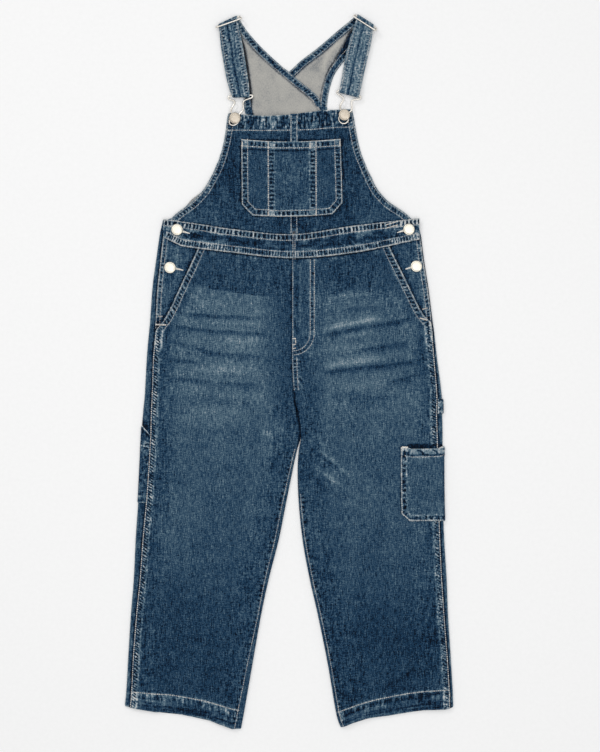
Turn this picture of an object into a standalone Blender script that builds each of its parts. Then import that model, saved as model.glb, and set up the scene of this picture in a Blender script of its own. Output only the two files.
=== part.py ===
"""Denim dungarees laid flat on their back, with crossed back pieces and buckled shoulder straps.

Frame: +Z up from the surface they lie on, +Y towards the shoulders, +X towards the wearer's left.
The origin is the middle of the garment's outline, on that surface. Sizes are in millimetres
until a mesh is made, where MM turns them into metres. "left" and "right" are the wearer's.
"""

import math
from collections import namedtuple

import bmesh
import bpy
from mathutils import Vector
from mathutils.bvhtree import BVHTree

MM = 0.001

# Cloth
CLOTH = 1.0  # one layer of denim
HEMMED = 1.6  # wall where the cloth is turned under
BAND = 2.0  # a waistband, two layers and its seam allowance
GAP = 0.3  # between neighbouring pieces
LAYER = CLOTH + GAP
ROLL = 2.0  # outer radius where the back panel rolls round a side edge
EDGE = 2 * ROLL  # height of that rolled edge
FRONT = EDGE + LAYER  # top of a front panel that lies on the rolled edge
LOW = 3.0  # top of a front panel in the middle of a leg, where it lies on the back panel
SAG = 55.0  # width over which it comes down from the rolled edge
SEAM_LAP = 8.0  # seam allowance of the back panel under the front
BUTTON_STAND = 20.0  # the same at the side opening
HEM_WIDTH = 10.0  # turned edge of the bib and the back pieces

# Hardware
WIRE = 1.2  # radius of the hooks' and sliders' wire
STRAP_WALL = 1.6
STRAP_TURN = 3.2  # outer radius of a strap's turn round a wire
BUTTON_CAP = 8.7  # radius
SHANK = 2.6

CENTRE_FRONT = 5.5  # x of the fly edge and the crotch seam
BIB_SEAM = 8.4  # x of the bib's and waistband's middle seam
SEAM_WIDTH = 11.0
CROTCH = 7  # row of the leg tables where the legs part
HEM_ROW = 16

# One row for each section of a leg, from the waist to the hem. out and in are the side and inner
# edges. strip is the width of back panel that shows at the side, front the distance from the side
# edge to the front panel, inner the same at the inseam, and bow how far the row arches up.
LegRow = namedtuple("LegRow", "out_x out_y in_x in_y strip front inner bow")
RIGHT_LEG = [
    LegRow(-198, 210, 5.5, 178.5, 6, 65, 0, 0),
    LegRow(-204, 167, 5.5, 150, 7, 54, 0, 0),
    LegRow(-209, 130, 5.5, 124, 8, 43, 0, 0),
    LegRow(-212, 90, 5.5, 86, 8.5, 28, 0, 0),
    LegRow(-213, 74, 5.5, 70, 8.5, 11, 0, 0),
    LegRow(-214.5, 60, 5.5, 56, 9, 9, 0, 0),
    LegRow(-218, 19, 5.5, 13, 9.5, 9.5, 0, 0),
    LegRow(-221, -36, 8.3, -38, 10.5, 10.5, 0, 0),
    LegRow(-224, -68, 13, -68, 12, 12, 1.5, 0),
    LegRow(-226, -96, 16.8, -98, 13.5, 13.5, 1.5, 0),
    LegRow(-228, -140, 8, -146, 13, 13, 2.5, 0),
    LegRow(-231, -199, -3, -201, 12, 12, 4, 0),
    LegRow(-235, -258, -15, -261, 10.5, 10.5, 4.5, 0),
    LegRow(-238, -320, -30, -320, 9, 9, 4, 0),
    LegRow(-242.5, -376, -42, -376, 8, 8, 3, 0),
    LegRow(-246.5, -440, -55, -450, 7, 7, 6, 3),
    LegRow(-249.5, -493, -68, -525, 7.5, 7.5, 8, 6),
    LegRow(-252, -516, -73, -553, 8, 8, 8.5, 4),
]
LEFT_LEG = [
    LegRow(204, 207, 5.5, 178.5, 1.5, 54, 0, 0),
    LegRow(209, 167, 5.5, 150, 1.5, 41, 0, 0),
    LegRow(214.8, 130, 5.5, 124, 1.5, 30, 0, 0),
    LegRow(220, 90, 5.5, 86, 1.5, 15, 0, 0),
    LegRow(222, 74, 5.5, 70, 2, 3, 0, 0),
    LegRow(224, 60, 5.5, 56, 2.5, 2.5, 0, 0),
    LegRow(228.5, 19, 5.5, 13, 4, 4, 0, 0),
    LegRow(235.5, -36, 8.7, -38, 6.5, 6.5, 0, 0),
    LegRow(236.5, -68, 14.8, -68, 8, 8, 1.5, 0),
    LegRow(237, -96, 18.6, -98, 7.5, 7.5, 1.5, 0),
    LegRow(237, -140, 14, -146, 6.5, 6.5, 2, 0),
    LegRow(237.5, -199, 15.5, -201, 5.5, 5.5, 2, 0),
    LegRow(239.5, -258, 21.6, -261, 6, 6, 2.5, 0),
    LegRow(243.3, -320, 32.3, -320, 7, 7, 3, 0),
    LegRow(245.5, -376, 45, -376, 5.5, 5.5, 3, 2),
    LegRow(249.5, -440, 60, -450, 4.5, 4.5, 3, 4),
    LegRow(252.5, -490, 75.5, -526, 4.5, 4.5, 3, 8),
    LegRow(253.5, -518, 81, -549, 5, 5, 3, 7),
]

# The largest folds of the front: a soft ridge (or trough) at x, y, turned by angle degrees.
Fold = namedtuple("Fold", "x y angle length width height")
FOLDS = [
    Fold(-130, 62, -4, 120, 13, 0.7),
    Fold(-122, 28, -9, 140, 13, -0.5),
    Fold(-110, -6, -8, 150, 14, 0.8),
    Fold(-104, -44, -6, 130, 14, -0.5),
    Fold(134, 64, 8, 110, 13, 0.7),
    Fold(124, 30, 11, 130, 13, -0.5),
    Fold(112, -4, 11, 140, 14, 0.8),
    Fold(104, -40, 13, 120, 14, -0.5),
    Fold(-34, -140, 50, 110, 13, 1.1),
    Fold(-62, -205, 62, 150, 15, -0.6),
    Fold(-96, -250, 66, 170, 16, 0.8),
    Fold(58, -144, -48, 120, 13, 1.1),
    Fold(64, -230, -66, 160, 15, -0.6),
    Fold(104, -262, -70, 170, 16, 0.8),
    Fold(-165, -400, 76, 180, 17, 0.8),
    Fold(-120, -445, 84, 120, 15, -0.5),
    Fold(165, -405, -72, 180, 17, 0.8),
    Fold(120, -450, -82, 110, 15, 0.5),
]

# Front waistband: its lower and upper edge at each x
BandRow = namedtuple("BandRow", "x low high")
WAISTBAND = [
    BandRow(-192.3, 204.5, 232.5),
    BandRow(-164, 191, 228.7),
    BandRow(-93, 181.6, 218),
    BandRow(5.5, 172.5, 209.4),
    BandRow(101, 181, 222.5),
    BandRow(201, 201, 234),
]
BACK_BAND = 22.0  # height of the back waistband

# Bib: its two armhole edges and the height of its middle at each section, and the arch of the row
BibRow = namedtuple("BibRow", "right_x right_y middle_y left_x left_y bow_right bow_left")
BIB = [
    BibRow(-188, 225, 201, 194, 228, 0, 0),
    BibRow(-173, 241, 222, 180, 242, 0, 0),
    BibRow(-147, 259.5, 246, 153, 259.5, 0, 0),
    BibRow(-130, 278, 268, 136.3, 278, 0, 0),
    BibRow(-119.4, 296.4, 290, 127, 296.4, 0, 0),
    BibRow(-110, 315, 311, 119.4, 315, 0, 0),
    BibRow(-104, 333.4, 331, 111.7, 333.4, 0, 0),
    BibRow(-99.3, 352, 350.5, 107, 352, 0, 0),
    BibRow(-96.4, 369, 369.5, 103.2, 372.5, -1, 1),
    BibRow(-96.2, 371, 371.5, 102.8, 374.5, -1, 1),
    BibRow(-94.5, 386, 384.5, 100.6, 389, -2, 1.5),
    BibRow(-92.5, 396.5, 394.3, 97.5, 401.8, -2.5, 1.7),
]
FACING_ROW = 9  # from this row up the bib is turned under
BIB_DROOP = 3.0  # how far the bib's sides sink where no back piece lies under them

# Crossed back pieces: both edges of each section, from the waist to the shoulder
YokeRow = namedtuple("YokeRow", "right_x right_y left_x left_y")
LEFT_YOKE = [
    YokeRow(-189, 233.5, 196, 231),
    YokeRow(-150, 262, 151, 262),
    YokeRow(-100, 302, 103, 300),
    YokeRow(-75, 335, 77, 335),
    YokeRow(-62, 370, 63, 370),
    YokeRow(-57, 407, 59.5, 401),
    YokeRow(-28.5, 434.5, 60.3, 419),
    YokeRow(1.7, 460.5, 64.5, 438),
    YokeRow(20.8, 478, 71, 456),
    YokeRow(45.4, 496.7, 83, 473),
    YokeRow(73.2, 520.5, 104, 496),
    YokeRow(100.5, 543, 129, 523),
]
RIGHT_YOKE = [
    YokeRow(-189, 233.5, 186, 231),
    YokeRow(-150, 262, 140, 262),
    YokeRow(-100, 302, 92, 300),
    YokeRow(-75, 335, 66, 335),
    YokeRow(-62, 370, 52, 370),
    YokeRow(-67.5, 401, 48.5, 414),
    YokeRow(-69, 418, 35.3, 430.4),
    YokeRow(-71.5, 437, 20.8, 442),
    YokeRow(-76, 455, 0.8, 458.8),
    YokeRow(-84, 475, -20.5, 477.2),
    YokeRow(-93, 496, -44, 499.7),
    YokeRow(-101, 513, -63.3, 521.9),
    YokeRow(-106, 528, -76, 541),
]

# Straps: both edges of each section, from the hook to the fold at the shoulder, and the height
# of the underside
StrapRow = namedtuple("StrapRow", "x0 y0 x1 y1 base")
RIGHT_STRAP = [
    StrapRow(-86, 419, -59.5, 419.6, 2.6),
    StrapRow(-91, 433, -60.5, 437, 2.6),
    StrapRow(-96, 452, -63.5, 458, 2.6),
    StrapRow(-100.5, 478, -67.3, 482, 2.6),
    StrapRow(-104, 499, -71.5, 506, 2.6),
    StrapRow(-106, 521, -77, 533, 2.6),
    StrapRow(-108, 532, -79.5, 545.5, 2.6),
]
LEFT_STRAP = [
    StrapRow(77.3, 426.9, 107.6, 418.8, 2.6),
    StrapRow(80, 439, 111.2, 433, 1.8),
    StrapRow(84, 462, 116, 456, 2.0),
    StrapRow(87.5, 481, 121, 478, 2.6),
    StrapRow(92.5, 502, 126, 499, 2.6),
    StrapRow(101, 530, 129, 516.5, 2.6),
    StrapRow(106.5, 547.5, 132, 531, 2.6),
]
# The slider's near bar, which shows on top of each strap
RIGHT_SLIDER = (-111.0, 526.0, -71.5, 540.0)
LEFT_SLIDER = (99.5, 543.0, 134.0, 521.0)

# Half a hook, from the bar down: distance below the bar and distance from the middle line
HookPoint = namedtuple("HookPoint", "down out")
HOOK = [
    HookPoint(0, 8),
    HookPoint(0, 16.5),
    HookPoint(0.8, 18.3),
    HookPoint(2.8, 18.8),
    HookPoint(4.8, 17),
    HookPoint(6.4, 12),
    HookPoint(8.2, 7.8),
    HookPoint(10.5, 6.5),
    HookPoint(14, 7),
    HookPoint(18, 8.5),
    HookPoint(22, 9.3),
    HookPoint(25.5, 8.6),
    HookPoint(28.5, 6.2),
    HookPoint(31.5, 4.8),
    HookPoint(35, 5.6),
    HookPoint(39, 7.3),
    HookPoint(43, 6.9),
    HookPoint(46, 4.2),
]
HOOK_LENGTH = 47.4

Spot = namedtuple("Spot", "x y")
BIB_BUTTONS = {"right": Spot(-82.2, 387.3), "left": Spot(85.9, 392.4)}
WAIST_BUTTONS = {"right": Spot(-171, 216), "left": Spot(184.8, 216.5)}
HIP_BUTTONS = {"right": Spot(-182, 158), "left": Spot(196.5, 160)}

# Bib pocket: both side edges of each section from its mouth down, and the arch of the row
PocketRow = namedtuple("PocketRow", "x0 y0 x1 y1 bow")
BIB_POCKET = [
    PocketRow(-72.5, 355, 80, 355.7, -4),
    PocketRow(-72.4, 343, 80.6, 344, -3),
    PocketRow(-72.3, 341.5, 80.7, 342.5, -3),
    PocketRow(-72, 300, 81.8, 300, -1),
    PocketRow(-71.6, 255, 83, 257.5, -1),
    PocketRow(-55.5, 238, 67.3, 240, -2.5),
]

LIGHT_DENIM = (0.075, 0.130, 0.190, 1)
DENIM_REVERSE = (0.42, 0.41, 0.38, 1)
NICKEL = (0.78, 0.75, 0.69, 1)


def clear_scene():
    for item in list(bpy.data.objects):
        bpy.data.objects.remove(item)


def make_material(name, colour, roughness, metallic):
    material = bpy.data.materials.new(name)
    material.use_nodes = True
    shader = material.node_tree.nodes["Principled BSDF"]
    shader.inputs["Base Color"].default_value = colour
    shader.inputs["Roughness"].default_value = roughness
    shader.inputs["Metallic"].default_value = metallic
    return material


def smooth(value, start, end):
    """0 before start, 1 after end, and an even S between them."""
    share = min(1.0, max(0.0, (value - start) / (end - start)))
    return share * share * (3 - 2 * share)


def mix(a, b, share):
    return a + (b - a) * share


def curve(values, place):
    """A smooth curve through evenly spaced values, read at a place between 0 and their count - 1."""
    last = len(values) - 1
    i = min(int(place), last - 1)
    share = place - i
    a, b = values[i], values[i + 1]
    before = values[i - 1] if i > 0 else 2 * a - b
    after = values[i + 2] if i + 2 <= last else 2 * b - a
    slope_a, slope_b = (b - before) / 2, (after - a) / 2
    s2, s3 = share**2, share**3
    return (
        (2 * s3 - 3 * s2 + 1) * a
        + (s3 - 2 * s2 + share) * slope_a
        + (3 * s2 - 2 * s3) * b
        + (s3 - s2) * slope_b
    )


def straight(values, place):
    i = min(int(place), len(values) - 2)
    return mix(values[i], values[i + 1], place - i)


def column(table, name, place, read=curve):
    return read([getattr(row, name) for row in table], place)


def by_x(table, name, x):
    """A smooth column of a table whose rows have their own x."""
    xs = [row.x for row in table]
    i = max(k for k in range(len(xs) - 1) if x >= xs[k] or k == 0)
    return curve([getattr(r, name) for r in table], i + (x - xs[i]) / (xs[i + 1] - xs[i]))


def make_solid(name, rows, material, ring=False):
    """A wall between rows of (outer point, inner point) pairs. In a ring each row closes on itself."""
    mesh = bmesh.new()
    sides = [[[mesh.verts.new(pair[k] * MM) for pair in row] for row in rows] for k in (0, 1)]
    last_row, count = len(rows) - 1, len(rows[0])
    spans = [(j, (j + 1) % count) for j in range(count if ring else count - 1)]
    for i in range(last_row):
        for j, k in spans:
            for side in sides:
                mesh.faces.new((side[i][j], side[i][k], side[i + 1][k], side[i + 1][j]))
    outer, inner = sides
    for i in (0, last_row):
        for j, k in spans:
            mesh.faces.new((outer[i][j], outer[i][k], inner[i][k], inner[i][j]))
    if not ring:
        for j in (0, count - 1):
            for i in range(last_row):
                mesh.faces.new((outer[i][j], outer[i + 1][j], inner[i + 1][j], inner[i][j]))
    bmesh.ops.recalc_face_normals(mesh, faces=mesh.faces)
    data = bpy.data.meshes.new(name)
    mesh.to_mesh(data)
    mesh.free()
    data.materials.append(material)
    data.shade_smooth()
    data.set_sharp_from_angle(angle=math.radians(35))
    item = bpy.data.objects.new(name, data)
    bpy.context.scene.collection.objects.link(item)
    return item


def make_panel(name, rows, material):
    """A flat-laid piece from rows of (x, y, top, thickness)."""
    pairs = [
        [(Vector((x, y, top)), Vector((x, y, top - wall))) for x, y, top, wall in row]
        for row in rows
    ]
    return make_solid(name, pairs, material)


class Surface:
    """The top of finished pieces, for what lies on them."""

    def __init__(self, *items):
        self.trees = []
        for item in items:
            mesh = bmesh.new()
            mesh.from_mesh(item.data)
            self.trees.append(BVHTree.FromBMesh(mesh))
            mesh.free()

    def height(self, x, y, reach=0.0):
        """The highest point within reach of x, y, in millimetres."""
        steps = (-1, 0, 1) if reach else (0,)
        found = []
        for dx in steps:
            for dy in steps:
                start = Vector((x + dx * reach, y + dy * reach, 100)) * MM
                for tree in self.trees:
                    hit = tree.ray_cast(start, Vector((0, 0, -1)))[0]
                    if hit is not None:
                        found.append(hit.z / MM)
        return max(found) if found else 0.0


class Leg:
    """Plan of one leg: rows run from the side edge to the inner edge."""

    def __init__(self, table):
        self.table = table
        self.sign = 1 if table[0].out_x > 0 else -1

    def value(self, name, row):
        return column(self.table, name, row, straight)

    def ends(self, row):
        out = Vector((column(self.table, "out_x", row), column(self.table, "out_y", row), 0))
        inner = Vector((column(self.table, "in_x", row), column(self.table, "in_y", row), 0))
        inner.x += self.sign * GAP / 2
        return out, inner

    def length(self, row):
        out, inner = self.ends(row)
        return (inner - out).length

    def point(self, row, s, z=0.0):
        """The point at distance s from the side edge."""
        out, inner = self.ends(row)
        length = (inner - out).length
        spot = out + (inner - out) * (s / length)
        spot.y += self.value("bow", row) * math.sin(math.pi * min(1, max(0, s / length)))
        spot.z = z
        return spot

    def row_at(self, y):
        """The row whose side edge is at height y."""
        low, high = 0.0, len(self.table) - 1.0
        for _ in range(40):
            middle = (low + high) / 2
            if column(self.table, "out_y", middle) > y:
                low = middle
            else:
                high = middle
        return low

    def parted(self, row):
        """0 above the crotch, 1 where the inner edge is rolled like the side."""
        return min(1.0, max(0.0, row - CROTCH))

    def lap(self, row):
        """How far the back panel reaches under what lies on it at the side."""
        return mix(BUTTON_STAND, SEAM_LAP, smooth(row, 3, 5))

    def locate(self, x, y):
        """Row and distance from the side edge of the point at x, y."""
        low, high = 0.0, len(self.table) - 1.0
        for _ in range(30):
            row = (low + high) / 2
            out, inner = self.ends(row)
            share = (x - out.x) / (inner.x - out.x)
            if mix(out.y, inner.y, share) > y:
                low = row
            else:
                high = row
        return row, share * self.length(row)

    def facing(self, row):
        """Distance from the side edge to the inner edge of the hip facing."""
        return max(self.value("front", row) + 26, 40)


def fold_height(x, y):
    total = 0.0
    for fold in FOLDS:
        angle = math.radians(fold.angle)
        dx, dy = x - fold.x, y - fold.y
        along = dx * math.cos(angle) + dy * math.sin(angle)
        across = -dx * math.sin(angle) + dy * math.cos(angle)
        taper = 1 - smooth(abs(along), 0.2 * fold.length, 0.55 * fold.length)
        total += fold.height * taper * math.exp(-((across / fold.width) ** 2))
    return total


def laid_height(leg, row, s):
    """Top of the first layer that lies on a leg's back panel, at distance s from the side edge. It
    clears the rolled edges, and comes down between them."""
    from_inner = leg.length(row) - s
    side_clear = leg.value("strip", row) + leg.lap(row) + 4
    inner_clear = leg.value("inner", row) + SEAM_LAP + 4
    inner_roll = min(1, 1.6 * leg.parted(row))
    sag = smooth(s, side_clear, side_clear + SAG)
    sag *= mix(1, smooth(from_inner, inner_clear, inner_clear + SAG), inner_roll)
    return mix(FRONT, LOW, sag * smooth(row, 0.8, 3.5))


def front_top(leg, row, s):
    """Height of a leg's front panel at distance s from the side edge."""
    spot = leg.point(row, s)
    from_inner = leg.length(row) - s
    facing = leg.facing(row)
    over_facing = (1 - smooth(s, facing + 8, facing + 38)) * (1 - smooth(row, 5, 5.6))
    over_fly = 0.0
    if leg.sign > 0:
        over_fly = (1 - smooth(spot.x, 46, 76)) * smooth(spot.y, -14, 14)
    at_seam = max(over_facing, over_fly, 1 - smooth(row, 0.8, 2))
    folds = fold_height(spot.x, spot.y) * smooth(s, 14, 44) * (1 - at_seam)
    folds *= mix(smooth(from_inner, 2, 30), smooth(from_inner, 8, 40), leg.parted(row))
    hem = (HEMMED - CLOTH) * smooth(row, HEM_ROW - 0.07, HEM_ROW)
    lift = LAYER * max(over_facing, over_fly)
    return laid_height(leg, row, s) + lift + folds + hem


def wall_at(row):
    return mix(CLOTH, HEMMED, smooth(row, HEM_ROW - 0.07, HEM_ROW))


def leg_stations(parts):
    """Rows at which a leg's panel has a section, with a number of parts for each table row."""
    even = [k / parts for k in range(parts * HEM_ROW) if not 0 < k / parts - CROTCH < 1]
    return sorted(even + [CROTCH + 1 / 3, CROTCH + 2 / 3, HEM_ROW - 0.07, HEM_ROW, HEM_ROW + 1])


def make_front_leg(name, leg, material, columns=15):
    rows = []
    for row in leg_stations(3):
        start = leg.value("front", row)
        end = leg.length(row) - leg.value("inner", row)
        points = []
        for k in range(columns + 1):
            s = mix(start, end, k / columns)
            spot = leg.point(row, s)
            points.append((spot.x, spot.y, front_top(leg, row, s), wall_at(row)))
        rows.append(points)
    return make_panel(name, rows, material)


def rolled(length, angle, tail, steps=5):
    """Points (distance, height, normal) of an edge that rolls up by angle, then runs on straight."""
    turned = angle / math.pi
    reach = math.pi * ROLL * (0.35 + 0.65 * turned)
    path, s, z = [], 0.0, 0.0
    step = reach / steps
    for k in range(steps + 1):
        heading = angle * k / steps
        path.append((s, z, heading))
        middle = angle * (k + 0.5) / steps
        chord = step if angle == 0 else 2 * (reach / angle) * math.sin(angle / steps / 2)
        s += chord * math.cos(middle)
        z += chord * math.sin(middle)
    s, z, _ = path[-1]
    path.append((s + tail * math.cos(angle), z + tail * math.sin(angle), angle))
    widest = max(s for s, _, _ in path)
    start = length - widest
    return [(start + s, z, Vector((math.sin(a), -math.cos(a)))) for s, z, a in path]


def make_back_leg(name, leg, material, flat_points=4):
    rows = []
    for row in leg_stations(2):
        length, wall = leg.length(row), wall_at(row)
        side_tail = leg.value("strip", row) + leg.lap(row) - ROLL
        side = [(-s, z, Vector((-n.x, n.y))) for s, z, n in rolled(0, math.pi, side_tail)]
        angle = math.pi * leg.parted(row)
        full_tail = leg.value("inner", row) + SEAM_LAP - ROLL
        tail = full_tail if angle > 3 else 0.5
        inner = rolled(length, angle, tail)
        start, end = side[0][0], inner[0][0]
        flat = [
            (mix(start, end, k / (flat_points + 1)), 0.0, Vector((0, -1)))
            for k in range(1, flat_points + 1)
        ]
        path = side[::-1] + flat + inner
        rows.append(
            [
                (leg.point(row, s, z), leg.point(row, s - n.x * wall, z - n.y * wall))
                for s, z, n in path
            ]
        )
    return make_solid(name, rows, material)


def make_hip_facing(name, leg, material, columns=8):
    """The panel behind the slanting pocket mouth, which carries the hip button."""
    rows = []
    for row in [k / 2 for k in range(10)] + [4.9]:
        start, end = leg.value("strip", row), leg.facing(row)
        points = []
        for k in range(columns + 1):
            s = mix(start, end, k / columns)
            spot = leg.point(row, s)
            points.append((spot.x, spot.y, laid_height(leg, row, s), CLOTH))
        rows.append(points)
    return make_panel(name, rows, material)


def make_fly_facing(leg, material):
    """The curved layer under the left front that holds the fly out."""
    top, bottom, width, corner = 178.0, 24.0, 34.0, 22.0
    start = CENTRE_FRONT + 2 * GAP
    rows = []
    for y in (top, 154, 130, 110, 90, 68, bottom + corner, bottom + 15, bottom + 8, bottom + 3, bottom):
        drop = min(1.0, max(0.0, (bottom + corner - y) / corner))
        reach = width - corner * (1 - math.sqrt(1 - drop**2))
        points = []
        for k in range(4):
            x = start + reach * k / 3
            points.append((x, y, laid_height(leg, *leg.locate(x, y)), CLOTH))
        rows.append(points)
    return make_panel("fly_facing", rows, material)


def band_step(x):
    """0 to 1: where the waistband lies on two layers instead of one."""
    if x < BIB_SEAM:
        hip = smooth(-x, 60, 92) * (1 - smooth(-x, 141, 165))
        return max(hip, smooth(x, -22, 4))
    return 1 - smooth(x, 157, 181)


def make_front_waistband(name, x_start, x_end, material, count=12):
    rows = []
    for k in range(count + 1):
        x = mix(x_start, x_end, k / count)
        low, high = by_x(WAISTBAND, "low", x), by_x(WAISTBAND, "high", x)
        under = FRONT + GAP + LAYER * band_step(x)
        seam = 0.8 * (1 - smooth(abs(x - BIB_SEAM), 4, 8))
        rows.append(
            [(x, mix(low, high, j / 4), under + BAND + seam, BAND + seam) for j in range(5)]
        )
    return make_panel(name, rows, material)


def back_band_low(x, left, right):
    """Lower edge of the back waistband, just clear of the back legs."""
    leg = right if x < CENTRE_FRONT else left
    out, inner = leg.ends(0)
    return mix(out.y, inner.y, (x - out.x) / (inner.x - out.x)) + GAP


def make_back_waistband(left, right, material, levels=3, flat_points=9):
    rows = []
    for k in range(levels + 1):
        share = k / levels
        x_right, x_left = mix(-198, -193, share), mix(204, 198.5, share)
        ends = rolled(0, math.pi, 7 + BUTTON_STAND - ROLL)
        start = [(x_right - s, z, Vector((-n.x, n.y))) for s, z, n in ends]
        end = [(x_left + s, z, n) for s, z, n in ends]
        flat = [
            (mix(start[0][0], end[0][0], j / (flat_points + 1)), 0.0, Vector((0, -1)))
            for j in range(1, flat_points + 1)
        ]
        row = []
        for x, z, n in start[::-1] + flat + end:
            y = back_band_low(x, left, right) + share * BACK_BAND
            row.append((Vector((x, y, z)), Vector((x - n.x * CLOTH, y, z - n.y * CLOTH))))
        rows.append(row)
    return make_solid("waistband_back", rows, material)


def yoke_edge(y, name):
    """x of a back piece's armhole edge at height y."""
    table = LEFT_YOKE if name == "left" else RIGHT_YOKE
    sign = 1 if name == "left" else -1
    for lower, upper in zip(table, table[1:]):
        y0, y1 = (getattr(r, name + "_y") for r in (lower, upper))
        if y0 <= y <= y1:
            x0, x1 = (getattr(r, name + "_x") for r in (lower, upper))
            return sign * mix(x0, x1, (y - y0) / (y1 - y0))
    return 60.0


def bib_top(x, y):
    outside = abs(x) - yoke_edge(y, "left" if x > 0 else "right")
    droop = BIB_DROOP * smooth(outside, 2, 24) * smooth(y, 255, 285)
    near_band = 1 - smooth(y - by_x(WAISTBAND, "high", min(200, max(-192, x))), 0, 26)
    return FRONT - droop + LAYER * band_step(x) * near_band


def make_bib(name, side, material):
    sign = 1 if side == "left" else -1
    rows = []
    for place, entry in enumerate(BIB):
        edge = Vector((getattr(entry, side + "_x"), getattr(entry, side + "_y")))
        middle = Vector((BIB_SEAM + sign * GAP / 2, entry.middle_y))
        length = (edge - middle).length
        hem_line = length - HEM_WIDTH
        yoke = yoke_edge(mix(middle.y, edge.y, 0.6), side) + 2 + sign * -BIB_SEAM
        yoke = min(max(yoke, 48), hem_line - 4)
        steps = [0, 20, 45, yoke, mix(yoke, hem_line, 0.5), hem_line - 1, hem_line]
        steps += [hem_line + HEM_WIDTH / 2, length]
        turned = smooth(place, FACING_ROW - 1, FACING_ROW)
        points = []
        for d in sorted(steps):
            spot = middle + (edge - middle) * (d / length)
            bow = getattr(entry, "bow_" + side) * math.sin(math.pi * d / length)
            hem = max(turned, smooth(d, hem_line - 1, hem_line) * smooth(place, 1, 2))
            top = bib_top(spot.x, spot.y) + 0.4 * hem
            points.append((spot.x, spot.y + bow, top, CLOTH + 0.6 * hem))
        rows.append(points)
    return make_panel(name, rows, material)


def make_centre_seam(bib, material):
    """The lapped seam down the middle of the bib."""
    half = SEAM_WIDTH / 2
    rows = []
    top, bottom, count = BIB[-1].middle_y, by_x(WAISTBAND, "high", BIB_SEAM) + 0.6, 16
    for k in range(count + 1):
        y = mix(bottom, top, k / count)
        height = bib.height(BIB_SEAM, y, 5.4) + LAYER
        rows.append([(BIB_SEAM + mix(-half, half, j / 2), y, height, CLOTH) for j in range(3)])
    return make_panel("centre_seam", rows, material)


def make_bib_pocket(surface, material):
    rows = []
    for place in (0, 1, 2, 2.33, 2.67, 3, 3.33, 3.67, 4, 4.5, 5):
        ends = [column(BIB_POCKET, c, place, straight) for c in ("x0", "y0", "x1", "y1", "bow")]
        x0, y0, x1, y1, bow = ends
        hem = 1 - smooth(place, 1, 2)
        points = []
        for share in (0, 0.06, 0.2, 0.34, 0.44, 0.5, 0.56, 0.66, 0.8, 0.94, 1):
            x = mix(x0, x1, share)
            y = mix(y0, y1, share) + bow * math.sin(math.pi * share)
            over_seam = 1 - smooth(abs(x - BIB_SEAM), 14, 30)
            base = surface.height(x, y, 6) if over_seam else surface.height(x, y, 4)
            base = max(base, mix(FRONT, FRONT + LAYER, over_seam))
            points.append((x, y, base + LAYER + 0.6 * hem, CLOTH + 0.6 * hem))
        rows.append(points)
    return make_panel("bib_pocket", rows, material)


def yoke_row(table, place, across, left, right):
    """A point of a back piece: across runs from its right to its left edge."""
    x = mix(column(table, "right_x", place), column(table, "left_x", place), across)
    y = mix(column(table, "right_y", place), column(table, "left_y", place), across)
    if place < 1:
        waist = back_band_low(x, left, right) + BACK_BAND + GAP
        y = mix(waist, y, place)
    return x, y


def make_yoke(name, table, left, right, height, material):
    rows = []
    last = len(table) - 1
    for k in range(2 * last + 1):
        place = k / 2
        ends = [Vector(yoke_row(table, place, share, left, right)) for share in (0, 1)]
        length = (ends[1] - ends[0]).length
        inset = min(HEM_WIDTH, 0.3 * length)
        distances = [0, inset, inset + 1] + [length * s for s in (0.42, 0.5, 0.58)]
        distances += [length - inset - 1, length - inset, length]
        points = []
        for d in distances:
            x, y = yoke_row(table, place, d / length, left, right)
            top, wall = height(x, y, place, d, length - d, inset)
            points.append((x, y, top, wall))
        rows.append(points)
    return make_panel(name, rows, material)


def left_yoke_height(x, y, place, from_right, from_left, inset):
    """The lower back piece. Its armhole hem folds over the edge of the upper one."""
    armhole = 1 - smooth(from_left, inset, inset + 1)
    neck = (1 - smooth(from_right, inset, inset + 1)) * smooth(place, 6.4, 7)
    wall = mix(CLOTH, HEMMED, max(armhole, neck))
    return wall, wall


def neck_side(x, y):
    """Distance of a point above the neck edge of the left (lower) back piece."""
    start, end = Vector((-57, 407)), Vector((100.5, 543))
    direction = (end - start).normalized()
    return direction.x * (y - start.y) - direction.y * (x - start.x)


def right_yoke_height(x, y, place, from_right, from_left, inset):
    """The upper back piece: it lies on the other up to that one's neck edge, then on the surface."""
    armhole = 1 - smooth(from_right, inset, inset + 1)
    neck = (1 - smooth(from_left, inset, inset + 1)) * smooth(place, 4.4, 5)
    rise = (HEMMED + GAP) * (1 - smooth(neck_side(x, y), 2, 14))
    wall = mix(CLOTH, HEMMED, max(armhole, neck))
    return rise + wall, wall


def strap_edges(table, place):
    names = ("x0", "y0", "x1", "y1", "base")
    x0, y0, x1, y1, base = (column(table, name, place) for name in names)
    return Vector((x0, y0, 0)), Vector((x1, y1, 0)), base


def strap_length(table):
    middles = [Vector(((r.x0 + r.x1) / 2, (r.y0 + r.y1) / 2)) for r in table]
    return [0.0] + [
        sum((b - a).length for a, b in zip(middles[:k], middles[1 : k + 1]))
        for k in range(1, len(middles))
    ]


def strap_place(table, distance):
    """Row of a strap's table at a distance from its lower end."""
    lengths = strap_length(table)
    i = max(k for k in range(len(lengths) - 1) if distance >= lengths[k] or k == 0)
    return i + (distance - lengths[i]) / (lengths[i + 1] - lengths[i])


def strap_rise(distance, total):
    """How far a strap's upper run is above its lower one: they part round the wire at each end."""
    part = max(1 - smooth(distance, 9, 30), smooth(distance, total - 30, total - 13))
    return mix(STRAP_WALL + GAP, 2 * STRAP_TURN - STRAP_WALL, part)


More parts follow.
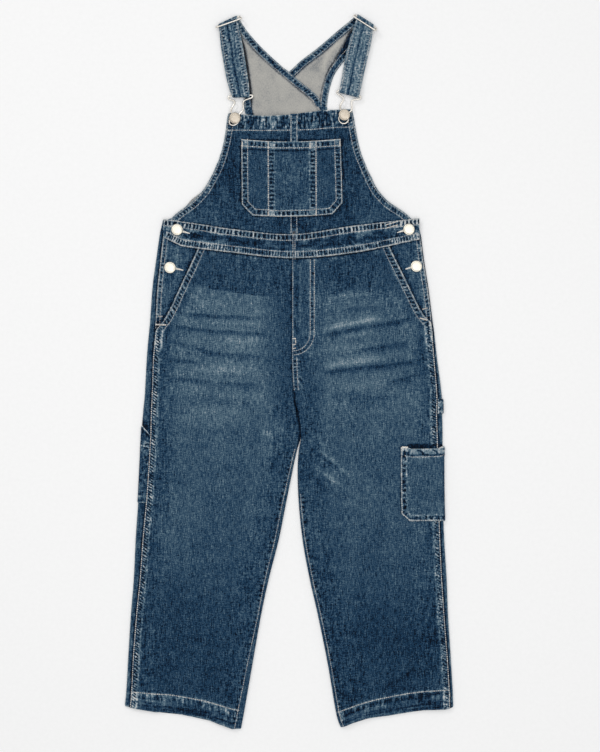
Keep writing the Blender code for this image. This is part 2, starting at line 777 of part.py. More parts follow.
def make_strap(name, table, material, runs=9, turns=6, widths=4):
    """A flat loop: up the front, over the slider's far bar, down behind and round the hook's bar."""
    total = strap_length(table)[-1]
    radius = STRAP_TURN - STRAP_WALL / 2
    last = total - STRAP_TURN
    path = []
    for k in range(runs + 1):
        distance = mix(STRAP_TURN, last, k / runs)
        path.append((distance, strap_rise(distance, total) - radius, math.pi / 2))
    for k in range(1, turns):
        angle = math.pi / 2 - math.pi * k / turns
        path.append((last + radius * math.cos(angle), radius * math.sin(angle), angle))
    for k in range(runs + 1):
        path.append((mix(last, STRAP_TURN, k / runs), -radius, -math.pi / 2))
    for k in range(1, turns):
        angle = -math.pi / 2 - math.pi * k / turns
        path.append((STRAP_TURN + radius * math.cos(angle), radius * math.sin(angle), angle))
    rows = []
    for j in range(widths):
        share = j / (widths - 1)
        row = []
        for distance, z, angle in path:
            pair = []
            for side in (0.5, -0.5):
                along = distance + side * STRAP_WALL * math.cos(angle)
                height = z + side * STRAP_WALL * math.sin(angle)
                a, b, base = strap_edges(table, strap_place(table, along))
                spot = a.lerp(b, share)
                spot.z = base + STRAP_TURN + height
                pair.append(spot)
            row.append(tuple(pair))
        rows.append(row)
    return make_solid(name, rows, material, ring=True)


def rounded(corners, radius, steps=3):
    """A closed path through corners, each turned with a radius."""
    path = []
    for k, corner in enumerate(corners):
        before, after = corners[k - 1], corners[(k + 1) % len(corners)]
        start = corner + (before - corner).normalized() * radius
        end = corner + (after - corner).normalized() * radius
        for j in range(steps + 1):
            share = j / steps
            path.append(start.lerp(corner, share).lerp(corner.lerp(end, share), share))
    return path


def make_wire(name, path, radius, material):
    """A closed loop of round wire."""
    data = bpy.data.curves.new(name, "CURVE")
    data.dimensions = "3D"
    data.bevel_depth = radius * MM
    data.bevel_resolution = 2
    spline = data.splines.new("POLY")
    spline.points.add(len(path) - 1)
    for point, spot in zip(spline.points, path):
        point.co = (*(spot * MM), 1)
    spline.use_cyclic_u = True
    data.materials.append(material)
    item = bpy.data.objects.new(name, data)
    bpy.context.scene.collection.objects.link(item)
    return item


def make_slider(name, table, near_bar, material):
    """A rectangular loop: the near bar lies on the strap, the far bar is inside the strap's fold."""
    total = strap_length(table)[-1]
    a, b, base = strap_edges(table, strap_place(table, total - STRAP_TURN))
    over = (b - a).normalized() * 4.2
    far_a, far_b = a - over, b + over
    far_a.z = far_b.z = base + STRAP_TURN
    near_z = base + 2 * STRAP_TURN + GAP + WIRE
    near_a = Vector((near_bar[0], near_bar[1], near_z))
    near_b = Vector((near_bar[2], near_bar[3], near_z))
    return make_wire(name, rounded([near_a, near_b, far_b, far_a], 2.2), WIRE, material)


def make_hook(name, table, button, ring_z, material):
    """A bent wire: its bar is inside the strap's lower turn, its eye is round the button's shank."""
    a, b, base = strap_edges(table, strap_place(table, STRAP_TURN))
    across = (b - a).normalized()
    middle = (a + b) / 2
    down = (Vector((button.x, button.y, 0)) - middle).normalized()
    bar_z = base + STRAP_TURN
    path = []
    halves = [(p.down, -p.out) for p in HOOK] + [(HOOK_LENGTH, 0)]
    halves += [(p.down, p.out) for p in reversed(HOOK)]
    for along, out in halves:
        spot = middle + across * out + down * along
        spot.z = mix(bar_z, ring_z, smooth(along, 6, 20))
        path.append(spot)
    return make_wire(name, path, WIRE, material)


def make_turned(name, profile, spot, z, material, segments=18):
    """A round piece turned from (radius, height) points, the first and last on its axis."""
    mesh = bmesh.new()
    rings = []
    for radius, height in profile[1:-1]:
        ring = []
        for k in range(segments):
            angle = 2 * math.pi * k / segments
            x, y = spot.x + radius * math.cos(angle), spot.y + radius * math.sin(angle)
            ring.append(mesh.verts.new(Vector((x, y, z + height)) * MM))
        rings.append(ring)
    for lower, upper in zip(rings, rings[1:]):
        for k in range(segments):
            j = (k + 1) % segments
            mesh.faces.new((lower[k], lower[j], upper[j], upper[k]))
    mesh.faces.new(rings[0][::-1])
    tip = mesh.verts.new(Vector((spot.x, spot.y, z + profile[-1][1])) * MM)
    for k in range(segments):
        mesh.faces.new((rings[-1][k], rings[-1][(k + 1) % segments], tip))
    bmesh.ops.recalc_face_normals(mesh, faces=mesh.faces)
    data = bpy.data.meshes.new(name)
    mesh.to_mesh(data)
    mesh.free()
    data.materials.append(material)
    data.shade_smooth()
    data.set_sharp_from_angle(angle=math.radians(40))
    item = bpy.data.objects.new(name, data)
    bpy.context.scene.collection.objects.link(item)
    return item


def make_button(name, spot, z, shank_height, material):
    cap = [
        (SHANK, 0),
        (SHANK, shank_height),
        (BUTTON_CAP - 0.9, shank_height + 0.1),
        (BUTTON_CAP, shank_height + 0.7),
        (BUTTON_CAP, shank_height + 1.2),
        (BUTTON_CAP - 0.6, shank_height + 1.7),
        (BUTTON_CAP - 1.5, shank_height + 1.8),
        (BUTTON_CAP - 2.0, shank_height + 1.5),
        (0, shank_height + 1.7),
    ]
    return make_turned(name, [(0, 0)] + cap, spot, z, material)


def make_wrap(name, leg, stations, height, material, columns=6, turns=4):
    """A piece sewn over a leg's side edge. Each station is (row at its seam, row at the side edge,
    distance of the seam from the edge, wall). height gives its underside at a row and distance."""
    rows = []
    for seam_row, side_row, reach, wall in stations:
        row = []
        for k in range(columns, 0, -1):
            s = mix(ROLL, reach, k / columns)
            place = mix(side_row, seam_row, s / reach)
            z = height(place, s)
            row.append((leg.point(place, s, z + wall), leg.point(place, s, z)))
        top = height(side_row, ROLL)
        radius = top - ROLL
        for k in range(turns + 1):
            angle = math.pi / 2 * k / turns
            side, up = math.sin(angle), math.cos(angle)
            outer = leg.point(side_row, ROLL - (radius + wall) * side, ROLL + (radius + wall) * up)
            inner = leg.point(side_row, ROLL - radius * side, ROLL + radius * up)
            row.append((outer, inner))
        outer = leg.point(side_row, ROLL - radius - wall, GAP)
        row.append((outer, leg.point(side_row, ROLL - radius, GAP)))
        rows.append(row)
    return make_solid(name, rows, material)


def make_tool_pocket(leg, material):
    mouth, hem_line, corner, bottom = (leg.row_at(y) for y in (-117, -132, -220, -231))

    def height(row, s):
        nearby = [front_top(leg, row + dr, s + ds) for dr in (-0.1, 0, 0.1) for ds in (-4, 0, 4)]
        gape = 1.5 * (1 - smooth(row, mouth, mouth + 0.5)) * smooth(s, 2, 20) * smooth(64 - s, 2, 20)
        return max(nearby + [FRONT] * (s < leg.value("front", row) + 4)) + 2 * GAP + gape

    stations = [(mouth, mouth, 64.5, HEMMED), (hem_line - 0.03, hem_line - 0.03, 64.5, HEMMED)]
    for k in range(6):
        row = mix(hem_line, corner, k / 5)
        stations.append((row, row, 64, CLOTH))
    stations.append((bottom, bottom, 52, CLOTH))
    return make_wrap("tool_pocket", leg, stations, height, material)


def make_hammer_loop(leg, material):
    stations = []
    for row in (leg.row_at(y) for y in (-44, -51, -59, -66)):
        stations.append((row, row, leg.value("strip", row) - GAP, CLOTH))
    return make_wrap("hammer_loop", leg, stations, lambda row, s: FRONT, material, columns=2)


def make_ruler_pocket(leg, material):
    stations = []
    for side_y, seam_y in [(-85, -99), (-105, -110), (-125, -125), (-150, -150), (-177, -177), (-203, -203)]:
        side_row, seam_row = leg.row_at(side_y), leg.row_at(seam_y)
        stations.append((seam_row, side_row, leg.value("strip", seam_row) - GAP, CLOTH))
    return make_wrap("ruler_pocket", leg, stations, lambda row, s: EDGE + GAP, material, columns=2)


def build():
    clear_scene()
    denim = make_material("denim", LIGHT_DENIM, 0.85, 0)
    reverse = make_material("denim_reverse", DENIM_REVERSE, 0.9, 0)
    nickel = make_material("nickel", NICKEL, 0.3, 1)
    legs = {"left": Leg(LEFT_LEG), "right": Leg(RIGHT_LEG)}
    left, right = legs["left"], legs["right"]

    facings = {}
    for side, leg in legs.items():
        make_front_leg("front_leg_" + side, leg, denim)
        make_back_leg("back_leg_" + side, leg, denim)
        facings[side] = make_hip_facing("hip_facing_" + side, leg, denim)
    make_fly_facing(left, denim)

    bands = {
        "right": make_front_waistband("waistband_right", -192.3, BIB_SEAM - GAP / 2, denim),
        "left": make_front_waistband("waistband_left", BIB_SEAM + GAP / 2, 201, denim),
    }
    make_back_waistband(left, right, denim)

    bibs = {s: make_bib("bib_" + s, s, denim) for s in legs}
    seam = make_centre_seam(Surface(*bibs.values()), denim)
    make_bib_pocket(Surface(*bibs.values(), seam), denim)

    make_yoke("back_yoke_left", LEFT_YOKE, left, right, left_yoke_height, reverse)
    make_yoke("back_yoke_right", RIGHT_YOKE, left, right, right_yoke_height, reverse)

    straps = {"left": LEFT_STRAP, "right": RIGHT_STRAP}
    sliders = {"left": LEFT_SLIDER, "right": RIGHT_SLIDER}
    for side in legs:
        make_strap("strap_" + side, straps[side], denim)
        make_slider("slider_" + side, straps[side], sliders[side], nickel)
        spot = BIB_BUTTONS[side]
        bib = Surface(bibs[side]).height(spot.x, spot.y, 7)
        make_hook("hook_" + side, straps[side], spot, bib + GAP + WIRE, nickel)
        make_button("button_bib_" + side, spot, bib + GAP, 3.2, nickel)
        spot = WAIST_BUTTONS[side]
        top = Surface(bands[side]).height(spot.x, spot.y, 3)
        make_button("button_waist_" + side, spot, top + GAP, 1.0, nickel)
        spot = HIP_BUTTONS[side]
        top = Surface(facings[side]).height(spot.x, spot.y, 3)
        make_button("button_hip_" + side, spot, top + GAP, 1.0, nickel)

    make_tool_pocket(left, denim)
    make_hammer_loop(left, denim)
    make_ruler_pocket(right, denim)


build()
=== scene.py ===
import math

import bpy
import numpy as np
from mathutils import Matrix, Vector
from mathutils.bvhtree import BVHTree


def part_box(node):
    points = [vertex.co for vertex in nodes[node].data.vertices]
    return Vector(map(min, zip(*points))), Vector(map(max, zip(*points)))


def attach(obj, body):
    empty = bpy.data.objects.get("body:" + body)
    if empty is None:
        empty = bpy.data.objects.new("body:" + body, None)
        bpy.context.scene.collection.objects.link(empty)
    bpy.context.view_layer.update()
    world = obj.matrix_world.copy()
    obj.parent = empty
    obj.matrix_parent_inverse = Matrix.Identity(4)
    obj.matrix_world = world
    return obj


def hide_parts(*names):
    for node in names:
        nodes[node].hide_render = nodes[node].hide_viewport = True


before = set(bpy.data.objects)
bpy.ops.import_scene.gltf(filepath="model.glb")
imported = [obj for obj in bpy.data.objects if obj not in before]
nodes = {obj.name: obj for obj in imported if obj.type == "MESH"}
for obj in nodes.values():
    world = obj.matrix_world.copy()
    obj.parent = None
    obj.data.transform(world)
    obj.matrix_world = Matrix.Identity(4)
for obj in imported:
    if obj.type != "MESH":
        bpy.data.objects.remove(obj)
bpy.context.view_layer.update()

mm = 0.001  # sizes below are in millimetres
shown = {}  # every finished piece by name


def smooth(value, start, end):
    share = np.clip((value - start) / (end - start), 0, 1)
    return share * share * (3 - 2 * share)


def mix(a, b, share):
    return a + (b - a) * share


def bell(distance, width):
    return np.exp(-(distance / width) ** 2)


def through(values, place):  # a smooth curve through evenly spaced values
    values, place = np.asarray(values, float), np.asarray(place, float)
    padded = np.concatenate([[2 * values[0] - values[1]], values, [2 * values[-1] - values[-2]]])
    i = np.clip(place.astype(int), 0, len(values) - 2)
    t = place - i
    before, a, b, after = (padded[i + k] for k in range(4))
    slopeA, slopeB = (b - before) / 2, (after - a) / 2
    t2, t3 = t**2, t**3
    return ((2 * t3 - 3 * t2 + 1) * a + (t3 - 2 * t2 + t) * slopeA
            + (3 * t2 - 2 * t3) * b + (t3 - t2) * slopeB)


def straight(values, place):
    return np.interp(place, np.arange(len(values)), values)


def eased(values, width=5):  # corners of a run of values rounded over a few of them
    start = 2 * values[0] - values[width:0:-1]
    end = 2 * values[-1] - values[-2:-width - 2:-1]
    kernel = np.ones(2 * width + 1) / (2 * width + 1)
    return np.convolve(np.concatenate([start, values, end]), kernel, "same")[width:-width]


def tableOf(names, rows):  # a table with named columns
    return dict(zip(names.split(), np.array(rows, float).T))


def uneven(x, y, sizeX, sizeY, seed):  # soft unevenness from -1 to 1, with patches of about this size
    count = 97  # cells a side, after which the pattern repeats
    cells = np.random.RandomState(seed).uniform(-1, 1, (count, count))
    u, v = np.asarray(x) / sizeX + 500.3, np.asarray(y) / sizeY + 500.7
    i, j = np.floor(u).astype(int), np.floor(v).astype(int)
    fu, fv = u - i, v - j
    fu, fv = fu * fu * (3 - 2 * fu), fv * fv * (3 - 2 * fv)
    i, j, i2, j2 = i % count, j % count, (i + 1) % count, (j + 1) % count
    low = mix(cells[i, j], cells[i2, j], fu)
    high = mix(cells[i, j2], cells[i2, j2], fu)
    return mix(low, high, fv)


def treeOf(*objects):
    points, faces = [], []
    for item in objects:
        start = len(points)
        points += [v.co.copy() for v in item.data.vertices]
        faces += [[start + i for i in p.vertices] for p in item.data.polygons]
    return BVHTree.FromPolygons(points, faces)


def heightOf(tree, x, y):  # top of a finished surface
    down = Vector((0, 0, -1))
    z = np.zeros(np.shape(x))
    for index in np.ndindex(np.shape(x)):
        spot = Vector((x[index] * mm, y[index] * mm, 0.05))
        hit = tree.ray_cast(spot, down)[0]
        if hit is None:
            hit = tree.find_nearest(spot)[0]
        z[index] = hit.z / mm
    return z


def solidTop(node, x, y, passes):  # height of a solid's top, its steps softened
    z = heightOf(treeOf(nodes[node]), x, y)
    for _ in range(passes):
        wide = np.pad(z, 1, mode="edge")
        z = (wide[:-2, 1:-1] + wide[2:, 1:-1] + wide[1:-1, :-2] + wide[1:-1, 2:] + 2 * z) / 6
    return z


def lengths(path):  # distance along a path at each of its points
    steps = np.linalg.norm(np.diff(path, axis=0), axis=1)
    return np.concatenate([[0], np.cumsum(steps)])


def resample(path, spacing):
    run = lengths(path)
    count = max(2, int(round(run[-1] / spacing)) + 1)
    at = np.linspace(0, run[-1], count)
    return np.stack([np.interp(at, run, path[:, k]) for k in range(path.shape[1])], axis=1)


def shifted(path, offset):  # a path moved sideways: positive is to the left of its direction
    path = resample(np.asarray(path, float), 2.5)
    step = np.gradient(path, axis=0)
    step /= np.maximum(np.hypot(step[:, 0], step[:, 1]), 1e-6)[:, None]
    return path + offset * np.stack([-step[:, 1], step[:, 0]], axis=1)


def alongPath(x, y, path):  # distance along a path and, signed, across it (positive to its left)
    path = np.asarray(path, float)
    best = np.full(x.shape, 1e9)
    along, across = np.zeros(x.shape), np.full(x.shape, 999.0)
    run = lengths(path)
    for (ax, ay), (bx, by), start in zip(path, path[1:], run):
        length = math.hypot(bx - ax, by - ay)
        if length < 1e-6:
            continue
        dx, dy = (bx - ax) / length, (by - ay) / length
        t = np.clip((x - ax) * dx + (y - ay) * dy, 0, length)
        px, py = x - ax - t * dx, y - ay - t * dy
        distance = px * px + py * py
        side = dx * (y - ay) - dy * (x - ax)
        nearer = distance < best
        best = np.where(nearer, distance, best)
        along = np.where(nearer, start + t, along)
        across = np.where(nearer, np.sqrt(distance) * np.where(side < 0, -1, 1), across)
    return along, across


def linear(hexColour):
    parts = [int(hexColour[i:i + 2], 16) / 255 for i in (1, 3, 5)]
    return tuple(c / 12.92 if c < 0.04045 else ((c + 0.055) / 1.055) ** 2.4 for c in parts) + (1,)


def addNode(tree, kind, settings={}, links={}):
    node = tree.nodes.new("ShaderNode" + kind)
    for key, value in settings.items():
        if isinstance(key, str) and hasattr(node, key):
            setattr(node, key, value)
        else:
            node.inputs[key].default_value = value
    for key, socket in links.items():
        tree.links.new(socket, node.inputs[key])
    return node


def startMaterial(name, settings):
    material = bpy.data.materials.new(name)
    material.use_nodes = True
    tree = material.node_tree
    shader = tree.nodes["Principled BSDF"]
    for key, value in settings.items():
        shader.inputs[key].default_value = value
    return material, tree, shader


def colourBy(tree, shader, value, stops):
    ramp = addNode(tree, "ValToRGB", {}, {0: value})
    elements = ramp.color_ramp.elements
    while len(elements) > 1:
        elements.remove(elements[-1])
    elements[0].position, elements[0].color = stops[0][0], linear(stops[0][1])
    for position, colour in stops[1:]:
        elements.new(position).color = linear(colour)
    tree.links.new(ramp.outputs["Color"], shader.inputs["Base Color"])


def grain(tree, width, length, seed, detail=2.0):  # noise whose patches are width by length, in mm
    place = addNode(tree, "TexCoord").outputs["Object"]
    stretched = addNode(tree, "Mapping", {"Location": (seed, seed * 1.7, 0)}, {"Vector": place})
    stretched.inputs["Scale"].default_value = (1 / (width * mm), 1 / (length * mm), 300)
    noise = addNode(tree, "TexNoise", {"Scale": 1.0, "Detail": detail}, {"Vector": stretched.outputs[0]})
    return noise.outputs[0]


def painted(tree, name):  # a value kept at the points of a piece
    return addNode(tree, "Attribute", {"attribute_name": name}).outputs["Fac"]


def raiseBy(tree, shader, height, strength, distance):
    bump = addNode(tree, "Bump", {"Strength": strength, "Distance": distance}, {"Height": height})
    tree.links.new(bump.outputs[0], shader.inputs["Normal"])


def glossBy(tree, shader, value, low, high):
    gloss = addNode(tree, "MapRange", {"To Min": low, "To Max": high}, {"Value": value})
    tree.links.new(gloss.outputs[0], shader.inputs["Roughness"])


def addUp(tree, start, parts):  # start plus each (value - 0.5) times its strength
    total = start
    for value, strength in parts:
        centred = addNode(tree, "Math", {"operation": "SUBTRACT", 1: 0.5}, {0: value})
        scaled = addNode(tree, "Math", {"operation": "MULTIPLY", 1: strength}, {0: centred.outputs[0]})
        total = addNode(tree, "Math", {"operation": "ADD"}, {0: total, 1: scaled.outputs[0]}).outputs[0]
    return total


denimLook = {
    "stops": [(0.0, "#030c1a"), (0.10, "#061e35"), (0.17, "#0d2d48"), (0.25, "#193a55"), (0.30, "#25415a"),
              (0.41, "#3a5367"), (0.49, "#476071"), (0.62, "#5f7785"), (0.80, "#8c9aa3"), (1.0, "#c2c4c3")],
    "warp": (1.4, 11), "weft": (6, 1.4), "speckle": (1.4, 1.4),  # yarn, drawn coarser to show
    "cloud": (24, 34), "blots": (2.8, 3.4),
    "strength": (0.84, 0.58, 0.86, 0.08),  # of the warp, the weft, the speckle and the cloud
    "twill": 2.1,  # pitch of the diagonal, 0.7 mm on real cloth, drawn coarser to show
}


def washedDenim():  # indigo warp over white weft, stone washed: dry, streaky, pale where it rubs
    look = denimLook
    material, tree, shader = startMaterial("washedIndigoDenim", {
        "Roughness": 0.9, "Specular IOR Level": 0.1, "Sheen Weight": 0.03, "Sheen Roughness": 0.5})
    tone = painted(tree, "tone")
    warp = grain(tree, *look["warp"], 3)
    weft = grain(tree, *look["weft"], 7)
    speckle = grain(tree, *look["speckle"], 11, 1.0)
    cloud = grain(tree, *look["cloud"], 5, 3.0)
    mottle = painted(tree, "mottle")
    blots = addNode(tree, "MapRange", {"From Min": 0.36, "From Max": 0.64, "To Min": -1, "To Max": 1},
                    {"Value": grain(tree, *look["blots"], 13, 1.0)})
    rubbed = addNode(tree, "Math", {"operation": "MULTIPLY_ADD"}, {0: blots.outputs[0], 1: mottle, 2: tone})
    yarn = zip((warp, weft, speckle, cloud), look["strength"])
    colourBy(tree, shader, addUp(tree, rubbed.outputs[0], yarn), look["stops"])
    place = addNode(tree, "TexCoord").outputs["Object"]
    turned = addNode(tree, "Mapping", {"Rotation": (0, 0, math.radians(27))}, {"Vector": place})
    ribs = addNode(tree, "TexWave", {"Scale": 1 / (look["twill"] * mm) / 20 * math.pi, "Distortion": 0.6,
                                     "Detail": 1.0}, {"Vector": turned.outputs[0]})
    relief = addUp(tree, speckle, [(ribs.outputs["Fac"], 0.5), (warp, 0.6)])
    raiseBy(tree, shader, relief, 0.4, 0.0005)
    return material


def denimReverse():  # the white weft side inside the garment: warm grey with a fine blue-grey fleck
    material, tree, shader = startMaterial("denimReverse", {"Roughness": 0.92, "Specular IOR Level": 0.1})
    fleck = grain(tree, 1.3, 2.0, 4)
    cloud = grain(tree, 18, 24, 9)
    colourBy(tree, shader, addUp(tree, painted(tree, "tone"), [(fleck, 0.64), (cloud, 0.18)]),
             [(0.0, "#26292e"), (0.18, "#5c6064"), (0.34, "#8b8d8e"), (0.5, "#a5a4a0"), (0.8, "#bab8b1"),
              (1.0, "#cdcac2")])
    raiseBy(tree, shader, fleck, 0.25, 0.0004)
    return material


def cottonThread():  # corespun topstitch thread, washed from ecru to a soft grey-beige, hardly any gloss
    material, tree, shader = startMaterial("cottonThread", {"Roughness": 0.75, "Specular IOR Level": 0.2})
    fuzz = grain(tree, 1.6, 1.6, 2, 1.0)
    colourBy(tree, shader, addUp(tree, painted(tree, "tone"), [(fuzz, 0.5)]),
             [(0.0, "#3f4c5a"), (0.3, "#77808a"), (0.5, "#9d9d9e"), (0.7, "#bbb6b0"), (1.0, "#efebe2")])
    return material


def nickelWire():  # bent steel wire, nickel plated: bright with a soft warm streak
    material, tree, shader = startMaterial("nickelWire", {"Metallic": 1.0, "Roughness": 0.28})
    drawn = grain(tree, 12, 12, 6)
    colourBy(tree, shader, drawn, [(0.3, "#d3cdc3"), (0.7, "#f1ece4")])
    glossBy(tree, shader, drawn, 0.26, 0.36)
    return material


def nickelCap():  # pressed cap, satin champagne nickel, nearly white under soft light
    material, tree, shader = startMaterial("nickelCap", {"Metallic": 1.0, "Roughness": 0.4})
    pressed = grain(tree, 2.5, 2.5, 8, 3.0)
    colourBy(tree, shader, addUp(tree, painted(tree, "tone"), [(pressed, 0.9)]),
             [(0.0, "#a69a8b"), (0.5, "#c9c1b3"), (1.0, "#e4dfd1")])
    glossBy(tree, shader, pressed, 0.34, 0.5)
    return material


denim, reverse, thread = washedDenim(), denimReverse(), cottonThread()
wireFinish, capFinish = nickelWire(), nickelCap()
print("materials ready")


def addObject(name, points, faces, materials, values={}, faceSlots=None, sharp=50):
    data = bpy.data.meshes.new(name)
    data.from_pydata((np.asarray(points) * mm).tolist(), [], faces)
    for material in materials:
        data.materials.append(material)
    if faceSlots is not None:
        data.polygons.foreach_set("material_index", faceSlots)
    for key, value in values.items():
        layer = data.attributes.new(key, "FLOAT", "POINT")
        layer.data.foreach_set("value", np.asarray(value, np.float32))
    data.shade_smooth()
    data.set_sharp_from_angle(angle=math.radians(sharp))
    data.update()
    item = bpy.data.objects.new(name, data)
    bpy.context.scene.collection.objects.link(item)
    shown[name] = item
    return item


def normalsOf(top, ring):
    if ring:
        across = np.roll(top, -1, axis=1) - np.roll(top, 1, axis=1)
    else:
        across = np.gradient(top, axis=1)
    normal = np.cross(across, np.gradient(top, axis=0))
    normal /= np.maximum(np.linalg.norm(normal, axis=2), 1e-9)[..., None]
    return normal


wallLook = {"step": 4, "turn": 0.4}  # inner side: every fourth row; edges drop by this share of the wall


def clothPiece(name, top, wall, tone, mottle=0, slotOf=None, ring=False, inner=None):
    # a wall of cloth: a fine outer side, a coarser inner side with a tone of its own, turned edges
    inner = tone if inner is None else inner
    step = wallLook["step"]
    n, m = top.shape[:2]
    assert (n - 1) % step == 0 and (m % step == 0 if ring else (m - 1) % step == 0), (name, n, m)
    normal = normalsOf(top, ring)
    highest = np.unravel_index(np.argmax(top[..., 2]), (n, m))
    facing = 1 if normal[highest][2] > 0 else -1
    normal = normal * facing
    wall = np.broadcast_to(wall, (n, m))
    under = (top - normal * wall[..., None])[::step, ::step]
    outer = top.copy()
    border = np.zeros((n, m), bool)
    border[0], border[-1] = True, True
    if not ring:
        border[:, 0], border[:, -1] = True, True
    outer[border] -= normal[border] * (wall[border] * wallLook["turn"])[:, None]
    points = np.concatenate([outer.reshape(-1, 3), under.reshape(-1, 3)])
    mottle = np.broadcast_to(mottle, (n, m))
    shades = [np.clip(tone, 0, 1.3).reshape(-1), inner[::step, ::step].reshape(-1)]
    blots = [mottle.reshape(-1), mottle[::step, ::step].reshape(-1)]
    values = {"tone": np.concatenate(shades), "mottle": np.concatenate(blots)}
    fine = np.arange(n * m).reshape(n, m)
    un, um = under.shape[:2]
    coarse = n * m + np.arange(un * um).reshape(un, um)

    def quads(grid, flip):
        wide = np.concatenate([grid, grid[:, :1]], axis=1) if ring else grid
        a, b, c, d = wide[:-1, :-1], wide[:-1, 1:], wide[1:, 1:], wide[1:, :-1]
        order = (a, d, c, b) if flip else (a, b, c, d)
        return np.stack(order, axis=-1).reshape(-1, 4).tolist()

    flip = facing < 0
    faces = quads(fine, flip)
    slots = [0] * len(faces)
    if slotOf is not None:
        slots = slotOf[:-1, :-1].reshape(-1).astype(int).tolist()
    faces += quads(coarse, not flip)
    slots += [0] * (len(faces) - len(slots))
    ends = [(fine[0], coarse[0], False), (fine[-1], coarse[-1], True)]
    if ring:
        ends = [(np.append(e, e[0]), np.append(c, c[0]), away) for e, c, away in ends]
    else:
        ends += [(fine[:, 0], coarse[:, 0], True), (fine[:, -1], coarse[:, -1], False)]
    for edge, lower, away in ends:
        for k in range(len(lower) - 1):
            loop = [int(i) for i in (*edge[k * step:(k + 1) * step + 1], lower[k + 1], lower[k])]
            faces.append(loop[::-1] if away == flip else loop)
            slots.append(0)
    return addObject(name, points, faces, [denim, reverse], values, slots)


def settle(item, replaced, slotName, restsOn=None, flat=None, area=None):
    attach(item, "root")
    if replaced:
        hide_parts(*replaced)
    return item


def cutOf(top):  # width, length and area that a piece was cut to, in metres
    a, b, c, d = top[:-1, :-1], top[:-1, 1:], top[1:, 1:], top[1:, :-1]
    first = np.linalg.norm(np.cross(b - a, c - a), axis=2)
    second = np.linalg.norm(np.cross(c - a, d - a), axis=2)
    area = float((first + second).sum() / 2) * mm * mm
    width = float(np.linalg.norm(np.diff(top, axis=1), axis=2).sum(axis=1).max()) * mm
    length = float(np.linalg.norm(np.diff(top, axis=0), axis=2).sum(axis=0).max()) * mm
    return (width * max(1, 1.001 * area / (width * length)), length), area


def slantedCut(top):  # the same for a piece cut aslant: the smallest rectangle round it at any angle
    spots, best = top.reshape(-1, 3)[:, :2], None
    for degrees in range(0, 90, 3):
        c, s = math.cos(math.radians(degrees)), math.sin(math.radians(degrees))
        across, along = spots @ (c, s), spots @ (-s, c)
        size = (float(np.ptp(across)) * mm, float(np.ptp(along)) * mm)
        if best is None or size[0] * size[1] < best[0] * best[1]:
            best = size
    return best, cutOf(top)[1]


def layCloth(name, replaced, spots, wall, tone, mottle, restsOn, slotName="denim", cut=cutOf, **more):
    # a finished cloth piece from its grid of x, y and z, in place of its nodes, resting on other pieces;
    # restsOn, which names them, is not used
    top = np.stack(spots, axis=2)
    item = clothPiece(name, top, wall, tone, mottle, **more)
    return settle(item, replaced, slotName, restsOn, *cut(top))


# how a sewn seam looks once washed: dark pits and pale ridges between its rows, short pale ticks beside
seamLook = {"pitch": 6.0, "pit": 0.46, "ridge": 0.34, "tick": 0.20, "reach": 3.0, "depth": 0.35,
            "slant": 0.0, "thread": 0.55, "line": 0.30, "fill": 0.5, "mottle": 0.17, "inset": 1.2}


def sewnBand(x, y, seam, seed):
    look = {**seamLook, **seam}
    along, across = alongPath(x, y, look["path"])
    rows, pitch = look["rows"], look["pitch"]
    low, high, total = min(rows), max(rows), lengths(np.asarray(look["path"], float))[-1]
    inside = (along > 0) & (along < total) & (np.abs(across) < 60)
    run = along + look["slant"] * across + pitch * 0.4 * uneven(along, along * 0, 2.3 * pitch, 1, seed)
    run = run + 0.13 * pitch * uneven(along, across, 4, 3, seed + 3)
    wave = 0.5 + 0.5 * np.cos(2 * np.pi * run / pitch)
    depths = np.random.RandomState(seed + 4).uniform(0.35, 1.3, 997)
    each = depths[np.rint(run / pitch).astype(int) % len(depths)]  # every pit has its own depth
    pits = smooth(wave, look["fill"] - 0.22, look["fill"] + 0.12)
    strength = 0.85 + 0.4 * uneven(along, along * 0, 17, 1, seed + 1)
    rim = look["inset"]
    between = smooth(across, low + rim - 0.6, low + rim + 0.6)
    between = between * (1 - smooth(across, high - rim - 0.6, high - rim + 0.6))
    between = between * inside * (high - low > 2.5)
    outside = np.maximum(across - high, low - across)
    ragged = 1 + 0.6 * uneven(along, along * 0, pitch * 0.8, 1, seed + 2)
    beside = np.where(outside > 0, bell(outside, look["reach"] * ragged), 0) * inside
    markStrength = 0.75 + 0.5 * uneven(along, across, 3, 40, seed + 5)
    line = sum(bell(across - row, 1.15) for row in look.get("lines", rows)) * inside * markStrength
    tone = (-look["pit"] * pits * each + look["ridge"] * (1 - pits) * markStrength) * between * strength
    tone += look["tick"] * (1 - pits) * beside * strength + look["line"] * line
    relief = -look["depth"] * pits * between * strength - 0.1 * line
    relief += 0.35 * look["depth"] * (1 - pits) * beside
    return tone, relief, look["mottle"] * np.maximum(between, 0.8 * np.maximum(line, beside))


def sewSeams(x, y, tone, relief, seams, seed):
    mottle = 0 * tone
    for number, seam in enumerate(seams):
        extraTone, extraRelief, rubbed = sewnBand(x, y, seam, seed + 7 * number)
        keep = seam["only"](x, y) if "only" in seam else 1
        tone, relief = tone + extraTone * keep, relief + extraRelief * keep
        mottle = np.maximum(mottle, rubbed * keep)
    return tone, relief, mottle


def stroke(x, y, path, width, fade=0.25):  # a soft line through points, thin at both ends
    along, across = alongPath(x, y, path)
    total = lengths(np.asarray(path, float))[-1]
    ends = smooth(along, 0, fade * total) * (1 - smooth(along, total * (1 - fade), total))
    return bell(across, width) * ends


